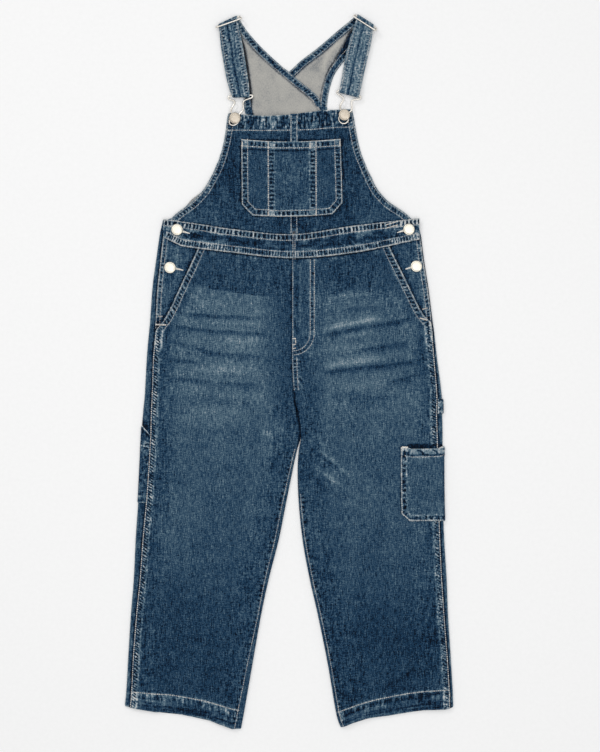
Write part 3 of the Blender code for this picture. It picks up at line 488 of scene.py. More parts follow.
def creased(x, y, tone, relief, creases):
    # a crease: its ends, from left to right, width, tone, height; a dark tone is painted shade in its fold,
    # a pale one is rubbed cloth; dark ones are sharp above, pale below
    for start, end, width, shade, height in creases:
        along, across = alongPath(x, y, [start, end])
        total = math.dist(start, end)
        waved = across + 1.6 * uneven(along, along * 0, 19, 1, int(abs(start[0])))
        line = bell(waved, np.where((waved > 0) == (shade < 0), 0.5, 1.25) * width)
        line = line * smooth(along, 0, 0.25 * total) * (1 - smooth(along, 0.7 * total, total))
        tone, relief = tone + shade * line, relief + height * line
    return tone, relief


def puckered(x, y, sizeX, sizeY, seed, light=0.35, dark=0.16):  # rumpled cloth: pale ridges, dark hollows
    value = uneven(x, y, sizeX, sizeY, seed)
    return light * smooth(value, 0.15, 0.75) - dark * smooth(-value, 0.1, 0.7), 0.25 * value


def addStitch(rows, start, end, za, zb, fat, lift, tone):
    direction = (end - start) / max(np.hypot(*(end - start)), 1e-6)
    side = np.array([-direction[1], direction[0]])
    points, faces = [], []
    for share, half, drop in ((0, 0.22, 0.4), (0.22, 0.5, 0.02), (0.78, 0.5, 0.02), (1, 0.22, 0.4)):
        spot = start + (end - start) * share
        height = za + (zb - za) * share + lift - drop
        for across, up in ((-1, 0), (0, 0.8), (1, 0), (0, -0.6)):
            x, y = spot + side * across * half * fat
            points.append((x, y, height + up * half * fat))
    for k in range(3):
        for j in range(4):
            i, i2 = 4 * k + j, 4 * k + (j + 1) % 4
            faces.append((i, i2, i2 + 4, i + 4))
    faces += [(3, 2, 1, 0), (12, 13, 14, 15)]
    rows.append((points, faces, [tone] * 16))


stitchLook = {"length": 2.8, "gap": 0.45, "lift": 0.12, "width": 0.95}


def stitchRow(rows, tree, path, seed, shade, width):
    chance = np.random.RandomState(seed)
    length, gap = stitchLook["length"], stitchLook["gap"]
    spots = resample(np.asarray(path, float), length + gap)
    z = heightOf(tree, spots[:, 0], spots[:, 1])
    for a, b, za, zb in zip(spots, spots[1:], z, z[1:]):
        direction = (b - a) / max(np.hypot(*(b - a)), 1e-6)
        addStitch(rows, a + direction * gap / 2, b - direction * gap / 2, za, zb,
                  width * chance.uniform(0.85, 1.15), stitchLook["lift"],
                  shade + chance.uniform(-0.2, 0.2))


def satin(rows, tree, start, end, widths, seed, shade, spacing=0.75):  # close stitches across a short line
    chance = np.random.RandomState(seed)
    start, end = np.array(start, float), np.array(end, float)
    length = np.hypot(*(end - start))
    direction = (end - start) / length
    side = np.array([-direction[1], direction[0]])
    for at in np.arange(0, length, spacing):
        middle = start + direction * at
        half = side * mix(widths[0], widths[1], at / length) / 2 * chance.uniform(0.85, 1.1)
        lean = direction * 0.25
        z = heightOf(tree, middle[:1], middle[1:])[0]
        addStitch(rows, middle - half - lean, middle + half + lean, z, z, 0.85, 0.3,
                  shade + chance.uniform(-0.12, 0.12))


def sewOn(name, item, seams, seed, tacks=()):  # the thread of a piece's seams, and its tacks
    rows, tree = [], treeOf(item)
    for number, seam in enumerate(seams):
        look = {**seamLook, **seam}
        for k, offset in enumerate(look.get("sewn", look["rows"])):
            stitchRow(rows, tree, shifted(look["path"], offset), seed + 20 * number + k, look["thread"],
                      look.get("width", stitchLook["width"]))
    for k, (start, end, widths, shade) in enumerate(tacks):
        satin(rows, tree, start, end, widths, seed + 500 + k, shade)
    points, faces, tones = [], [], []
    for p, f, t in rows:
        first = len(points)
        points += p
        faces += [[first + i for i in face] for face in f]
        tones += t
    return settle(addObject(name, points, faces, [thread], {"tone": tones}, sharp=60), None, "denim")


legNames = "outX outY inX inY strip front inner bow"
legPlans = {
    "Right": tableOf(legNames, [
        (-198, 210, 5.5, 178.5, 6, 65, 0, 0), (-204, 167, 5.5, 150, 7, 54, 0, 0),
        (-209, 130, 5.5, 124, 8, 43, 0, 0), (-212, 90, 5.5, 86, 8.5, 27, 0, 0),
        (-213, 74, 5.5, 70, 8.5, 18, 0, 0), (-214.5, 60, 5.5, 56, 9, 10, 0, 0),
        (-218, 19, 5.5, 13, 9.5, 9.5, 0, 0), (-221, -36, 8.3, -38, 10.5, 10.5, 0, 0),
        (-224, -68, 13.9, -68, 12, 12, 1.5, 0), (-226, -96, 17.6, -98, 13.5, 13.5, 1.5, 0),
        (-228, -140, 8, -146, 13, 13, 2.5, 0), (-231, -199, -3, -201, 12, 12, 4, 0),
        (-235, -258, -15, -261, 10.5, 10.5, 4.5, 0), (-238, -320, -30, -320, 9, 9, 4, 0),
        (-242.5, -376, -42, -376, 8, 8, 3, 0), (-246.5, -440, -55, -450, 7, 7, 6, 3),
        (-249.5, -493, -68, -525, 7.5, 7.5, 8, 6), (-252, -516, -73, -553, 8, 8, 8.5, 4)]),
    "Left": tableOf(legNames, [
        (204, 207, 5.5, 178.5, 1.5, 54, 0, 0), (209, 167, 5.5, 150, 1.5, 41, 0, 0),
        (214.8, 130, 5.5, 124, 1.5, 30, 0, 0), (220, 90, 5.5, 86, 1.5, 15, 0, 0),
        (222, 74, 5.5, 70, 2, 3, 0, 0), (224, 60, 5.5, 56, 2.5, 2.5, 0, 0),
        (228.5, 19, 5.5, 13, 4, 4, 0, 0), (235.5, -36, 8.5, -38, 6.5, 6.5, 0, 0),
        (236.5, -68, 13.9, -68, 8, 8, 1.5, 0), (237, -96, 17.6, -98, 7.5, 7.5, 1.5, 0),
        (237, -140, 14, -146, 6.5, 6.5, 2, 0), (237.5, -199, 15.5, -201, 5.5, 5.5, 2, 0),
        (239.5, -258, 21.6, -261, 6, 6, 2.5, 0), (243.3, -320, 32.3, -320, 7, 7, 3, 0),
        (245.5, -376, 45, -376, 5.5, 5.5, 3, 2), (249.5, -440, 60, -450, 4.5, 4.5, 3, 4),
        (252.5, -490, 73, -526, 4.5, 4.5, 3, 8), (253.5, -518, 80, -549, 5, 5, 3, 7)]),
}
hemWave = {  # the turned hems are not even: how far their edge lies above the line through its ends
    "Right": ((-252, -232, -204, -186, -155, -127, -105, -87, -75),
              (0, -2.0, -2.6, 1.0, 0.8, 2.3, -0.4, -2.0, 1.4)),
    "Left": ((78, 90, 104, 118, 136, 154, 172, 190, 208, 226, 242, 253),
             (0, 0, 2.2, 2, 0, -2, -2.3, -1.9, -1.4, -2.3, -2.5, 0)),
}
for side, plan in legPlans.items():
    plan["inX"] = plan["inX"] + (0.15 if side == "Left" else -0.15)  # half the gap between the legs
    plan["wave"] = hemWave[side]
lastRow, hemRow, crotchRow = 17, 16, 7
hemHeight = 24  # about the height of the turned hem, which lies between the last two rows


def legEnds(plan, row):
    return [through(plan[name], row) for name in ("outX", "outY", "inX", "inY")]


def legLength(plan, row):
    outX, outY, inX, inY = legEnds(plan, row)
    return np.hypot(inX - outX, inY - outY)


def legPoint(plan, row, s):  # the point of a row at distance s from its side edge
    outX, outY, inX, inY = legEnds(plan, row)
    share = s / np.hypot(inX - outX, inY - outY)
    x = outX + (inX - outX) * share
    wave = np.interp(x, *plan["wave"])
    bow = straight(plan["bow"], row) * np.sin(np.pi * np.clip(share, 0, 1))
    return x, outY + (inY - outY) * share + bow + wave * smooth(row, hemRow - 0.6, lastRow)


def legLine(plan, start, end, distance, count=60):  # a path down a leg; distance is a column or a function
    row = np.linspace(start, end, count)
    s = straight(plan[distance], row) if isinstance(distance, str) else distance(row)
    return np.stack(legPoint(plan, row, s), axis=1)


def rowAt(plan, y):  # the row whose side edge is at this height
    row = np.linspace(0, lastRow, 600)
    return float(np.interp(-y, -through(plan["outY"], row), row))


def evenRows(plan, start, end, spacing, step=4):  # rows a fixed distance apart down the side edge
    fine = np.linspace(start, end, 400)
    outX, outY, _, _ = legEnds(plan, fine)
    run = lengths(np.stack([outX, outY], axis=1))
    count = int(math.ceil(run[-1] / spacing / step)) * step + 1
    return np.interp(np.linspace(0, run[-1], count), run, fine)


def columnsFrom(start, end, fineStep, fineCount, middleCount):  # fine at both edges, coarser between
    edge = np.arange(fineCount) * fineStep
    room = np.minimum(1, 0.8 * (end - start) / (2 * fineCount * fineStep))
    left = start[:, None] + edge[None, :] * room[:, None]
    right = end[:, None] - edge[None, ::-1] * room[:, None]
    inner = np.linspace(0, 1, middleCount + 2)[1:-1]
    a, b = left[:, -1:], right[:, :1]
    return np.concatenate([left, a + (b - a) * inner[None, :], right], axis=1)


bandPlan = tableOf("x low high", [
    (-192.3, 204.5, 232.5), (-164, 191, 228.7), (-93, 181.6, 218), (5.5, 172.5, 209.4), (101, 181, 222.5),
    (201, 201, 234)])
middleSeam, halfGap = 8.4, 0.15


def bandEdge(x, name):
    return through(bandPlan[name], np.interp(x, bandPlan["x"], np.arange(6)))


frontLook = {
    "tone": 0.25, "wall": 1.0, "hemWall": 1.6, "spacing": 1.35,
    "seeds": {"Right": (31, 1000), "Left": (131, 2000)},  # of the seams' wear and of the thread
    "fadeTop": {"Right": (111.5, -0.125), "Left": (140, 0)},  # height at the middle, slope of its top
    "fadeSoft": {"Right": 3.4, "Left": 42}, "hipFade": {"Right": 0.225, "Left": 0.185}, "thighFade": 0.115,
    "fadeSide": {"Right": (9, 44), "Left": (6, 26)}, "shin": {"Right": 0.035, "Left": 0.055},
    "tacks": {"Right": [((-188, 70), (-204, 70.5), (2.4, 2.4), 0.75),
                        ((-194, 83), (-200, 83.5), (1.8, 1.8), 0.6)],
              "Left": [((202, 80.5), (213, 77.5), (2.4, 2.4), 0.75),
                       ((206, 94), (214, 96), (1.8, 1.8), 0.65),
                       ((6.4, 49), (11, 49), (2.2, 2.2), 0.8), ((10.8, 47), (11.2, 42), (1.8, 1.8), 0.7),
                       ((6.6, 39.5), (11.5, 40.5), (1.8, 1.4), 0.8),
                       ((6.6, 33.5), (11, 34.5), (1.8, 1.4), 0.8)]},
    "rubbed": {  # pale rubbed lines and dark creases with painted shade that fan out from the crotch: ends, width, tone, height
        "Right": [((-172, 89), (-30, 79), 3.6, -0.15, -0.25), ((-192, 71), (-95, 58), 4.4, -0.15, -0.3),
                  ((-122, 60), (-20, 56), 3.6, -0.13, -0.25), ((-184, 45), (-112, 26), 6, -0.13, -0.3),
                  ((-189, 39), (-121, 22), 5, 0.08, 0.2), ((-192, 18), (-128, 13), 4, -0.12, -0.25),
                  ((-186, -10), (-104, -20), 5, -0.13, -0.25), ((-136, 75), (-32, 68), 4, 0.06, 0.2),
                  ((-104, 43), (-34, 46), 6, 0.06, 0.2), ((-150, 2), (-40, -6), 7, 0.06, 0.2),
                  ((-170, -40), (-70, -46), 7, -0.05, -0.2), ((-160, -60), (-60, -66), 7, 0.04, 0.2),
                  ((-138, 30), (-34, 20), 5, -0.12, -0.25), ((-122, -19), (-34, -23), 5, -0.10, -0.2),
                  ((-36, -161), (2, -107), 6, -0.16, -0.3), ((-44, -95), (-20, -101), 5, 0.10, 0.3)],
        "Left": [((50, 63), (156, 81), 4.5, 0.17, 0.3), ((44, 54), (142, 70), 5, -0.15, -0.3),
                 ((118, 67), (200, 82), 5, -0.14, -0.25), ((75, 49), (136, 61), 5, 0.09, 0.25),
                 ((96, 29), (194, 44), 5, -0.13, -0.25), ((44, 5), (156, 19), 5.5, 0.14, 0.3),
                 ((44, -3), (150, 8), 5, -0.15, -0.3), ((118, 5), (214, 16), 4.5, -0.14, -0.25),
                 ((144, -21), (204, -5), 5, -0.12, -0.2), ((60, 30), (120, 38), 7, 0.04, 0.2),
                 ((70, -30), (170, -20), 7, 0.05, 0.2), ((80, -48), (180, -38), 7, -0.05, -0.2),
                 ((54, 111), (146, 121), 5, 0.12, 0.2), ((70, 92), (150, 100), 4, -0.06, -0.15),
                 ((33, -96), (56, -120), 4.5, 0.17, 0.3), ((25, -112), (84, -152), 3.6, -0.12, -0.3),
                 ((46, -123), (102, -169), 4, 0.12, 0.3), ((24, -139), (90, -184), 4, 0.12, 0.4),
                 ((18, -149), (72, -192), 4, -0.12, -0.3), ((143, -489), (206, -454), 4, -0.08, -0.3)],
    },
}


frayAndFoldShade = {  # single frayed threads, pale, and painted shade in folds, dark, round the pocket mouths' ends and the crotch
    "Right": [([(-202, 68), (-204, 50), (-205, 30)], 1.6, 0.42),
              ([(-192, 66), (-194, 48), (-196, 30)], 1.5, 0.36),
              ([(-197, 66), (-199, 48), (-200.5, 28)], 1.4, -0.4), ([(-196, 82), (-192, 74)], 3.0, -0.5),
              ([(-186, 70), (-188, 50), (-190, 20)], 1.4, -0.2)],
    "Left": [([(217, 80), (219, 66), (221, 42)], 1.8, 0.5),
             ([(213, 78), (214.5, 66), (216, 42)], 1.3, -0.5),
             ([(207, 80), (209.5, 62), (211, 34)], 1.8, 0.26), ([(210, 92), (213, 84)], 3.4, -0.6),
             ([(12, -6), (17, -9), (25, -17)], 1.0, 0.26),
             ([(13, -13), (18, -20), (24, -30)], 1.0, 0.26),
             ([(19, -24), (21, -34), (27, -48)], 1.0, 0.2),
             ([(13, -8), (20, -15), (24, -22)], 1.4, -0.2)],
}


def frontTone(side, x, y, row, s, fromInner):
    plan, look = legPlans[side], frontLook
    start, slope = look["fadeTop"][side]
    edge = start + slope * x + 2 * uneven(x, y, 22, 16, 4) + uneven(x, y, 5, 5, 5)
    hip = smooth(edge - y, 0, look["fadeSoft"][side])
    begin, width = look["fadeSide"][side]
    atMouth = smooth(s - straight(plan["front"], row), 9, 31)
    sides = mix(atMouth, smooth(s - 7 - begin, 0, width), smooth(row, 3.6, 4.6))
    inner = smooth(fromInner - mix(8, 4, smooth(-y, 0, 120)), 0, 52)
    lower = 1 - smooth(-y + 14 * uneven(x, y, 60, 60, 6), 190, 400)
    fade = mix(look["hipFade"][side], look["thighFade"], smooth(-y, 0, 150)) * hip * sides * inner * lower
    tone = look["tone"] + fade - look["shin"][side] * smooth(-y, 330, 420)
    tone += 0.035 * uneven(x, y, 9, 60, 12) + 0.03 * uneven(x, y, 38, 14, 13)
    return tone, (0.3 + 0.7 * sides * inner) * smooth(130 - y, 0, 20)


def flyPath():  # outer row of the fly: down, then in a curve to the centre seam
    turn = np.linspace(0, np.pi / 2, 14)
    curve = np.stack([8 + 31.6 * np.cos(turn), 24 + 34 * (1 - np.sin(turn))], axis=1)
    return np.concatenate([[[39.8, 171.0]], [[39.6, 110.0]], curve])


def pocketShade(x, y):  # above the tool pocket's mouth, which stands off the leg, and beside its edge
    above = 0.8 * smooth(y, -128, -124) * (1 - smooth(y, -117, -110.5)) * smooth(x, 180, 186)
    beside = 0.34 * bell(x - 173.6, 1.6) * smooth(y, -226, -218) * (1 - smooth(y, -117, -112))
    return np.maximum(above, beside)


def makeFrontLeg(side):
    plan, look = legPlans[side], frontLook
    wearSeed, threadSeed = look["seeds"][side]
    row = evenRows(plan, 0, lastRow, look["spacing"])
    start = straight(plan["front"], row)
    end = legLength(plan, row) - straight(plan["inner"], row)
    s = columnsFrom(start, end, look["spacing"], 14, 77)
    rows = np.broadcast_to(row[:, None], s.shape)
    x, y = legPoint(plan, rows, s)
    fromInner, fromSide = legLength(plan, rows) - s, s - start[:, None]
    z = solidTop("front_leg_" + side.lower(), x, y, 6)
    tone, markStrength = frontTone(side, x, y, rows, s, fromInner)
    relief = (0.16 * uneven(x, y, 26, 34, 21) + 0.10 * uneven(x, y, 11, 17, 22)) * smooth(fromSide, 0, 14)
    relief = relief * smooth(fromInner, 0, 14)
    # pale rubbed lines and painted shade in the creases, scaled by markStrength
    addTone, addRelief = creased(x, y, tone * 0, relief * 0, look["rubbed"][side])
    tone, relief = tone + 1.5 * addTone * markStrength, relief + 1.5 * addRelief * markStrength

    sign = 1 if side == "Right" else -1  # paths run down: on the right leg the cloth is to their left
    crotch = legLine(plan, 5.6, 9.2, lambda r: legLength(plan, r), 30)
    centre = np.concatenate([[[5.6, 172]], [[5.6, 60]], crotch[crotch[:, 1] > -32]])
    hemEnds = (straight(plan["front"], hemRow),
               legLength(plan, hemRow) - straight(plan["inner"], hemRow) + 1)
    hemLine = np.stack(legPoint(plan, np.full(40, float(hemRow)), np.linspace(*hemEnds, 40)), axis=1)
    inseam = legLine(plan, 9.5 if side == "Right" else 10.8, lastRow,
                     lambda r: legLength(plan, r) - straight(plan["inner"], r), 90)
    seams = [
        dict(path=legLine(plan, 0.02, 4.3, "front"), rows=(sign * 1.6, sign * 9.8), pitch=6.2, pit=0.58,
             ridge=0.42, slant=-0.4),
        dict(path=legLine(plan, 4.3, lastRow, "front", 120), rows=(sign * 1.2, sign * 9.8),
             sewn=(sign * 1.2,), lines=(sign * 9.8,), pitch=4.5, slant=-0.6, pit=0.48, ridge=0.62,
             inset=1.4, thread=0.75, width=1.15, line=0.42, mottle=0.22),
        dict(path=inseam, rows=(-sign * 1.6, -sign * 7.4), sewn=(-sign * 1.6,), lines=(-sign * 1.6,),
             pitch=7.0, pit=0.30, ridge=0.10, tick=0.04, inset=1.0, fill=0.6),
        dict(path=hemLine, rows=(0.0,), pitch=5.6, tick=0.30, reach=3.2, thread=0.7, line=0.36, width=1.15),
    ]
    if side == "Left":
        seams += [
            dict(path=flyPath(), rows=(-6.2, 0), pitch=5.6, pit=0.26, ridge=0.08, tick=0.04, depth=0.15,
                 thread=0.66, inset=1.0, mottle=0.08),
            dict(path=centre, rows=(1.0,), pitch=5.0, tick=0.10, depth=0.2, thread=0.5),
            dict(path=centre[centre[:, 1] < 26], rows=(1.0, 7.2), pitch=5.6, pit=0.34, ridge=0.26,
                 tick=0.32, sewn=(7.2,), lines=(7.2,), reach=4),
        ]
        tone += 0.22 * stroke(x, y, [(18.4, 168), (18.3, 110), (18.2, 62)], 1.0, 0.08)
        patches = smooth(uneven(x, y, 8, 7, 62), -0.1, 0.35)
        tone -= 0.13 * patches * smooth(x, 8, 9.5) * (1 - smooth(x, 15, 16.5)) * smooth(y, 46, 56)
    else:
        # painted shade along the inner edge, under the left leg's fly
        tone -= 0.16 * bell(fromInner, 2.5) * (1 - smooth(rows, 6.5, 7))
    tone, relief, mottle = sewSeams(x, y, tone, relief, seams, wearSeed)

    below = smooth(rows, hemRow, hemRow + 0.05)  # the turned hem is puckered, and worn along its edge
    patch = smooth(uneven(x, y, 2.4, 9, 41), -0.1, 0.6)
    fromHem = (lastRow - rows) * hemHeight
    underRow = fromHem - 21
    tone += below * (0.30 * patch * bell(underRow, 6) - 0.18 * (1 - patch) * bell(underRow, 4))
    tone += below * (0.20 * uneven(x, fromHem, 30, 2.6, 46) + 0.04 + 0.06 * uneven(x, y, 9, 9, 47))
    tone -= below * 0.14 * bell(fromHem - 8 - 2 * uneven(x, y, 30, 400, 48), 1.3)
    block = below * (1 - smooth(fromSide, 11, 13))
    tone, mottle = tone + 0.18 * block, np.maximum(mottle, 0.24 * block)
    tone += 0.22 * bell(fromHem, 1.8) * (0.7 + 0.7 * uneven(x, y, 4, 400, 42))
    mottle = np.maximum(mottle, 0.05 * below)
    relief += below * 0.4 * patch * bell(fromHem - 20, 9)
    rubAndShade = 0.8 + 0.4 * uneven(x, y, 3, 5, 43)  # folded edges are rubbed pale at the pocket mouth; below it the side edge gets a painted shade
    tone += np.where(rows < 4.3, 0.50, -0.16) * bell(fromSide, np.where(rows < 4.3, 1.5, 0.8)) * rubAndShade
    tone += 0.18 * bell(fromInner, 1.4) * smooth(rows, crotchRow + 1.6, crotchRow + 2.4) * rubAndShade
    parted = smooth(rows, crotchRow - 0.4, crotchRow) * (1 - smooth(rows, 8.8, 9.4))  # painted shade at the crotch, where the legs part
    tone = tone - 0.8 * bell(np.maximum(fromInner - 0.4, 0), 0.9) * parted - pocketShade(x, y)
    fromBand = np.maximum(bandEdge(x, "low") - y, 0)  # shade and tucks below the waistband
    tuck = smooth(uneven(x, y, 3.6, 40, 44), 0.1, 0.7)
    tone = tone - 0.65 * bell(fromBand, 1.6) + 0.24 * tuck * bell(fromBand - 4, 3.5) * (fromBand > 0.1)
    fray = bell(fromSide - 5, 6) * bell(y - 50, 24)
    tone, mottle = tone + 0.16 * fray, np.maximum(mottle, 0.2 * fray)
    for path, width, shade in frayAndFoldShade[side]:
        tone += shade * stroke(x, y, path, width, 0.15)
    if side == "Left":
        tone += 0.05 * (1 - smooth(x, 34, 39)) * smooth(y, 20, 60)

    wall = np.where(rows > hemRow, look["hemWall"], look["wall"])
    replaced = ["front_leg_" + side.lower()] + (["fly_facing"] if side == "Left" else [])
    item = layCloth("frontLeg" + side, replaced, (x, y, z + relief), wall, tone, mottle,
                    ["backLeg" + side, "hipFacing" + side])
    sewOn("frontLegStitches" + side, item, seams, threadSeed, look["tacks"][side])


for side in ("Right", "Left"):
    makeFrontLeg(side)
print("front legs ready")


rollLook = {"radius": 2.0, "lap": 8.0, "stand": 20.0, "wall": 1.0, "hemWall": 1.6, "tone": 0.29,
            "spacing": 1.6, "meet": {"Right": 2.4, "Left": -2.4}}  # their edges meet beside the middle


def innerRoll(length, angle, tail, turns=12, tails=8):
    # distance and height of an inner edge that is rolled up by an angle
    radius = rollLook["radius"]
    reach = radius * max(angle, 0.05)
    middle = (np.arange(turns) + 0.5) / turns * angle
    s = np.concatenate([[0], np.cumsum(np.cos(middle))]) * reach / turns
    z = np.concatenate([[0], np.cumsum(np.sin(middle))]) * reach / turns
    run = np.arange(1, tails + 1) / tails * tail
    s = np.concatenate([s, s[-1] + run * math.cos(angle)])
    z = np.concatenate([z, z[-1] + run * math.sin(angle)])
    return s + length - s.max(), z


def sideRoll(tail, tails=16, turns=12):  # from the hidden tail round the side edge to the underside
    radius = rollLook["radius"]
    angle = np.linspace(math.pi, 0, turns + 1)
    s = np.concatenate([radius + np.linspace(tail, 0, tails + 1)[:-1], radius - radius * np.sin(angle)])
    z = np.concatenate([np.full(tails, 2 * radius), radius - radius * np.cos(angle)])
    return s, z


def makeBackLeg(side):
    plan, look = legPlans[side], rollLook
    row = evenRows(plan, 0, lastRow, look["spacing"])
    placesS, placesZ = [], []
    for r in row:
        together = float(1 - smooth(r, 9.0, 9.6))  # from the waist to a little below the crotch
        length = float(legLength(plan, r)) + look["meet"][side] * together
        lap = mix(look["stand"], look["lap"], float(smooth(r, 3, 5)))
        sideS, sideZ = sideRoll(float(straight(plan["strip"], r)) + lap - look["radius"])
        parted = min(1.0, max(0.0, r - crotchRow))
        lapped = float(straight(plan["inner"], r)) + look["lap"] - look["radius"]
        innerS, innerZ = innerRoll(length, math.pi * parted, mix(0.5, lapped, smooth(parted, 0.94, 1)))
        flat = np.linspace(sideS[-1], innerS[0], 17)[1:-1]
        placesS.append(np.concatenate([sideS, flat, innerS]))
        placesZ.append(np.concatenate([sideZ, flat * 0, innerZ]))
    s, z = np.array(placesS), np.array(placesZ)
    rows = np.broadcast_to(row[:, None], s.shape)
    x, y = legPoint(plan, rows, s)
    onTop = z > 3.2
    tone = look["tone"] + 0.05 * uneven(x, y, 5, 30, 71) + 0.03 * uneven(x, y, 30, 30, 72)
    strip = straight(plan["strip"], rows)
    ropy = smooth(uneven(x, y, 5, 4, 73), 0.1, 0.7)  # puckers that run in from the outseam
    tone += onTop * (0.24 * ropy - 0.03) * bell(s - strip, 5) * (s < 30)
    # pale rubbed side edge; painted shadow where the front leg's edge lies over the strip; the tool
    # pocket's painted shade
    tone += 0.20 * bell(s, 1.8) - 0.50 * bell(s - strip + 0.5, 1.2) - pocketShade(x, y) * onTop
    insideShade = 0.8 * (s > 60) * (1 - smooth(rows, 8.8, 9.6))  # painted shade inside, where the legs part; the inner faces get a painted shade too
    tone, inner = tone - insideShade * (z > 0.2), tone - 0.12 - insideShade
    if side == "Right":
        # painted shadow above the ruler pocket's mouth
        tone -= 0.7 * stroke(x, y, [(-229, -72), (-223, -83), (-216, -93)], 3.0, 0.2)
    relief = np.where(onTop & (s < 30), 0.22 * uneven(x, y, 5, 4, 73) * smooth(s, 2, 5), 0)
    hemRibs = smooth(0.5 + 0.5 * np.cos(2 * np.pi * y / 6.2), 0.55, 1)
    tone += (rows > hemRow) * (0.22 * hemRibs - 0.06) + 0.3 * bell((lastRow - rows) * hemHeight, 1.8)
    wall = np.where(rows > hemRow, look["hemWall"], look["wall"])
    layCloth("backLeg" + side, ["back_leg_" + side.lower()], (x, y, z + relief), wall, tone, 0, [],
             inner=inner)


def backBandLow(x):  # lower edge of the back waistband: the top edge of the back legs
    ends = {side: [float(v) for v in legEnds(plan, 0.0)] for side, plan in legPlans.items()}
    outX, outY, inX, inY = (np.where(x < 5.5, ends["Right"][k], ends["Left"][k]) for k in range(4))
    return outY + (inY - outY) * (x - outX) / (inX - outX) + 0.3


backBandLook = {"tone": 0.25, "wall": 1.0, "height": 22, "tail": 7,
                "right": (-198, -193), "left": (204, 198.5)}  # its ends at the lower and the upper edge


def makeBackBand():
    look = backBandLook
    levels = np.linspace(0, 1, 17)
    s, roll = sideRoll(look["tail"] + rollLook["stand"] - rollLook["radius"])
    grid = []
    for share in levels:
        right, left = mix(*look["right"], share) + s, mix(*look["left"], share) - s[::-1]
        flat = np.linspace(right[-1], left[0], 33)[1:-1]
        x = np.concatenate([right, flat, left])
        z = np.concatenate([roll, flat * 0, roll[::-1]])
        grid.append([x, backBandLow(x) + share * look["height"], z])
    x, y, z = np.array(grid).transpose(1, 0, 2)
    # puckers on top; painted shade on the rolled parts low down
    tone = look["tone"] + puckered(x, y, 4, 5, 81, 0.3, 0.1)[0] * (z > 3) - 0.1 * (z < 0.8)
    tone += 0.3 * bell(levels[:, None] * look["height"] - look["height"], 1.5)
    layCloth("backWaistband", ["waistband_back"], (x, y, z), look["wall"], tone, 0, [])


for side in ("Right", "Left"):
    makeBackLeg(side)
makeBackBand()
print("back ready")


facingLook = {
    "tone": 0.35, "wall": 1.0, "spacing": 1.5, "seeds": {"Right": (231, 3000), "Left": (261, 3400)},
    "lastRow": 4.9, "lap": 26, "least": 40,  # how far it goes under the front leg, its least width
    "tail": {"Right": ((-173, 156.6), (-161.4, 154), (3.6, 1.4), 0.95),  # the thread beyond the buttonhole
             "Left": ((188, 158.4), (179.7, 155.7), (3.2, 1.6), 0.95)},
}


def makeHipFacing(side):
    plan, look = legPlans[side], facingLook
    wearSeed, threadSeed = look["seeds"][side]
    row = evenRows(plan, 0, look["lastRow"], look["spacing"])
    start = straight(plan["strip"], row)
    end = np.maximum(straight(plan["front"], row) + look["lap"], look["least"])
    s = start[:, None] + (end - start)[:, None] * np.linspace(0, 1, 57)[None, :]
    rows = np.broadcast_to(row[:, None], s.shape)
    x, y = legPoint(plan, rows, s)
    z = solidTop("hip_facing_" + side.lower(), x, y, 4)
    sign = 1 if side == "Right" else -1
    edge = legLine(plan, 0.02, 4.8, "strip")
    seams = [dict(path=edge, rows=(sign * 1.2, sign * 6.6), pitch=5.2, thread=0.5)]
    tone = look["tone"] + 0.06 * uneven(x, y, 14, 14, 91) + 0.05 * uneven(x, y, 5, 22, 92)
    relief = 0.15 * uneven(x, y, 12, 15, 93)
    tone, relief, mottle = sewSeams(x, y, tone, relief, seams, wearSeed)
    toMouth = straight(plan["front"], rows) - s  # shade where the pocket mouth stands off
    tone = tone - 0.26 * bell(np.maximum(toMouth, 0), 5.5) - 0.34 * smooth(rows, 3.0, 3.9)
    tone -= 0.24 * bell(np.maximum(toMouth, 0), 2.0)
    # painted shade below the waistband
    tone -= 0.24 * bell(np.maximum(bandEdge(x, "low") - y, 0), 2.5)
    tone += 0.38 * bell(s - start[:, None], 1.1)
    item = layCloth("hipFacing" + side, ["hip_facing_" + side.lower()], (x, y, z + relief), look["wall"],
                    tone, mottle, ["backLeg" + side])
    sewOn("hipFacingStitches" + side, item, seams, threadSeed, [look["tail"][side]])


bandLook = {
    "tone": 0.22, "wall": 2.0, "spacing": 0.95, "height": 36,
    "seeds": {"Right": (331, 3800), "Left": (371, 4200)},
    "ends": {"Right": (-192.3, middleSeam - halfGap), "Left": (middleSeam + halfGap, 201)},
    # creases: pale rubbed ridges and painted shade in the folds: ends, width, tone, height
    "creases": {
        "Right": [((-150, 205), (-40, 193), 2.2, -0.14, -0.4), ((-130, 199), (-60, 196), 2, 0.14, 0.3),
                  ((-60, 190), (0, 186), 1.5, -0.12, -0.3), ((-160, 211), (-120, 204), 2, -0.16, -0.4)],
        "Left": [((75, 199), (90, 188), 1.0, 0.3, 0.3), ((92, 203), (104, 190), 1.0, 0.32, 0.3),
                 ((60, 204), (76, 196), 1.0, 0.22, 0.25), ((20, 192), (70, 195), 2, -0.12, -0.3),
                 ((110, 208), (160, 214), 2, -0.14, -0.4), ((16, 187), (40, 184), 1.2, 0.3, 0.3)],
    },
    "tacks": {"Right": [((-162, 213.2), (-151.8, 210.5), (3.8, 1.4), 0.98)],
              "Left": [((176.5, 214.6), (167.1, 211.7), (3.4, 1.4), 0.98),
                       ((150, 223.5), (168, 229), (1.4, 1.4), 0.85),
                       ((150, 218.5), (168, 223.5), (1.4, 1.4), 0.8)]},
}


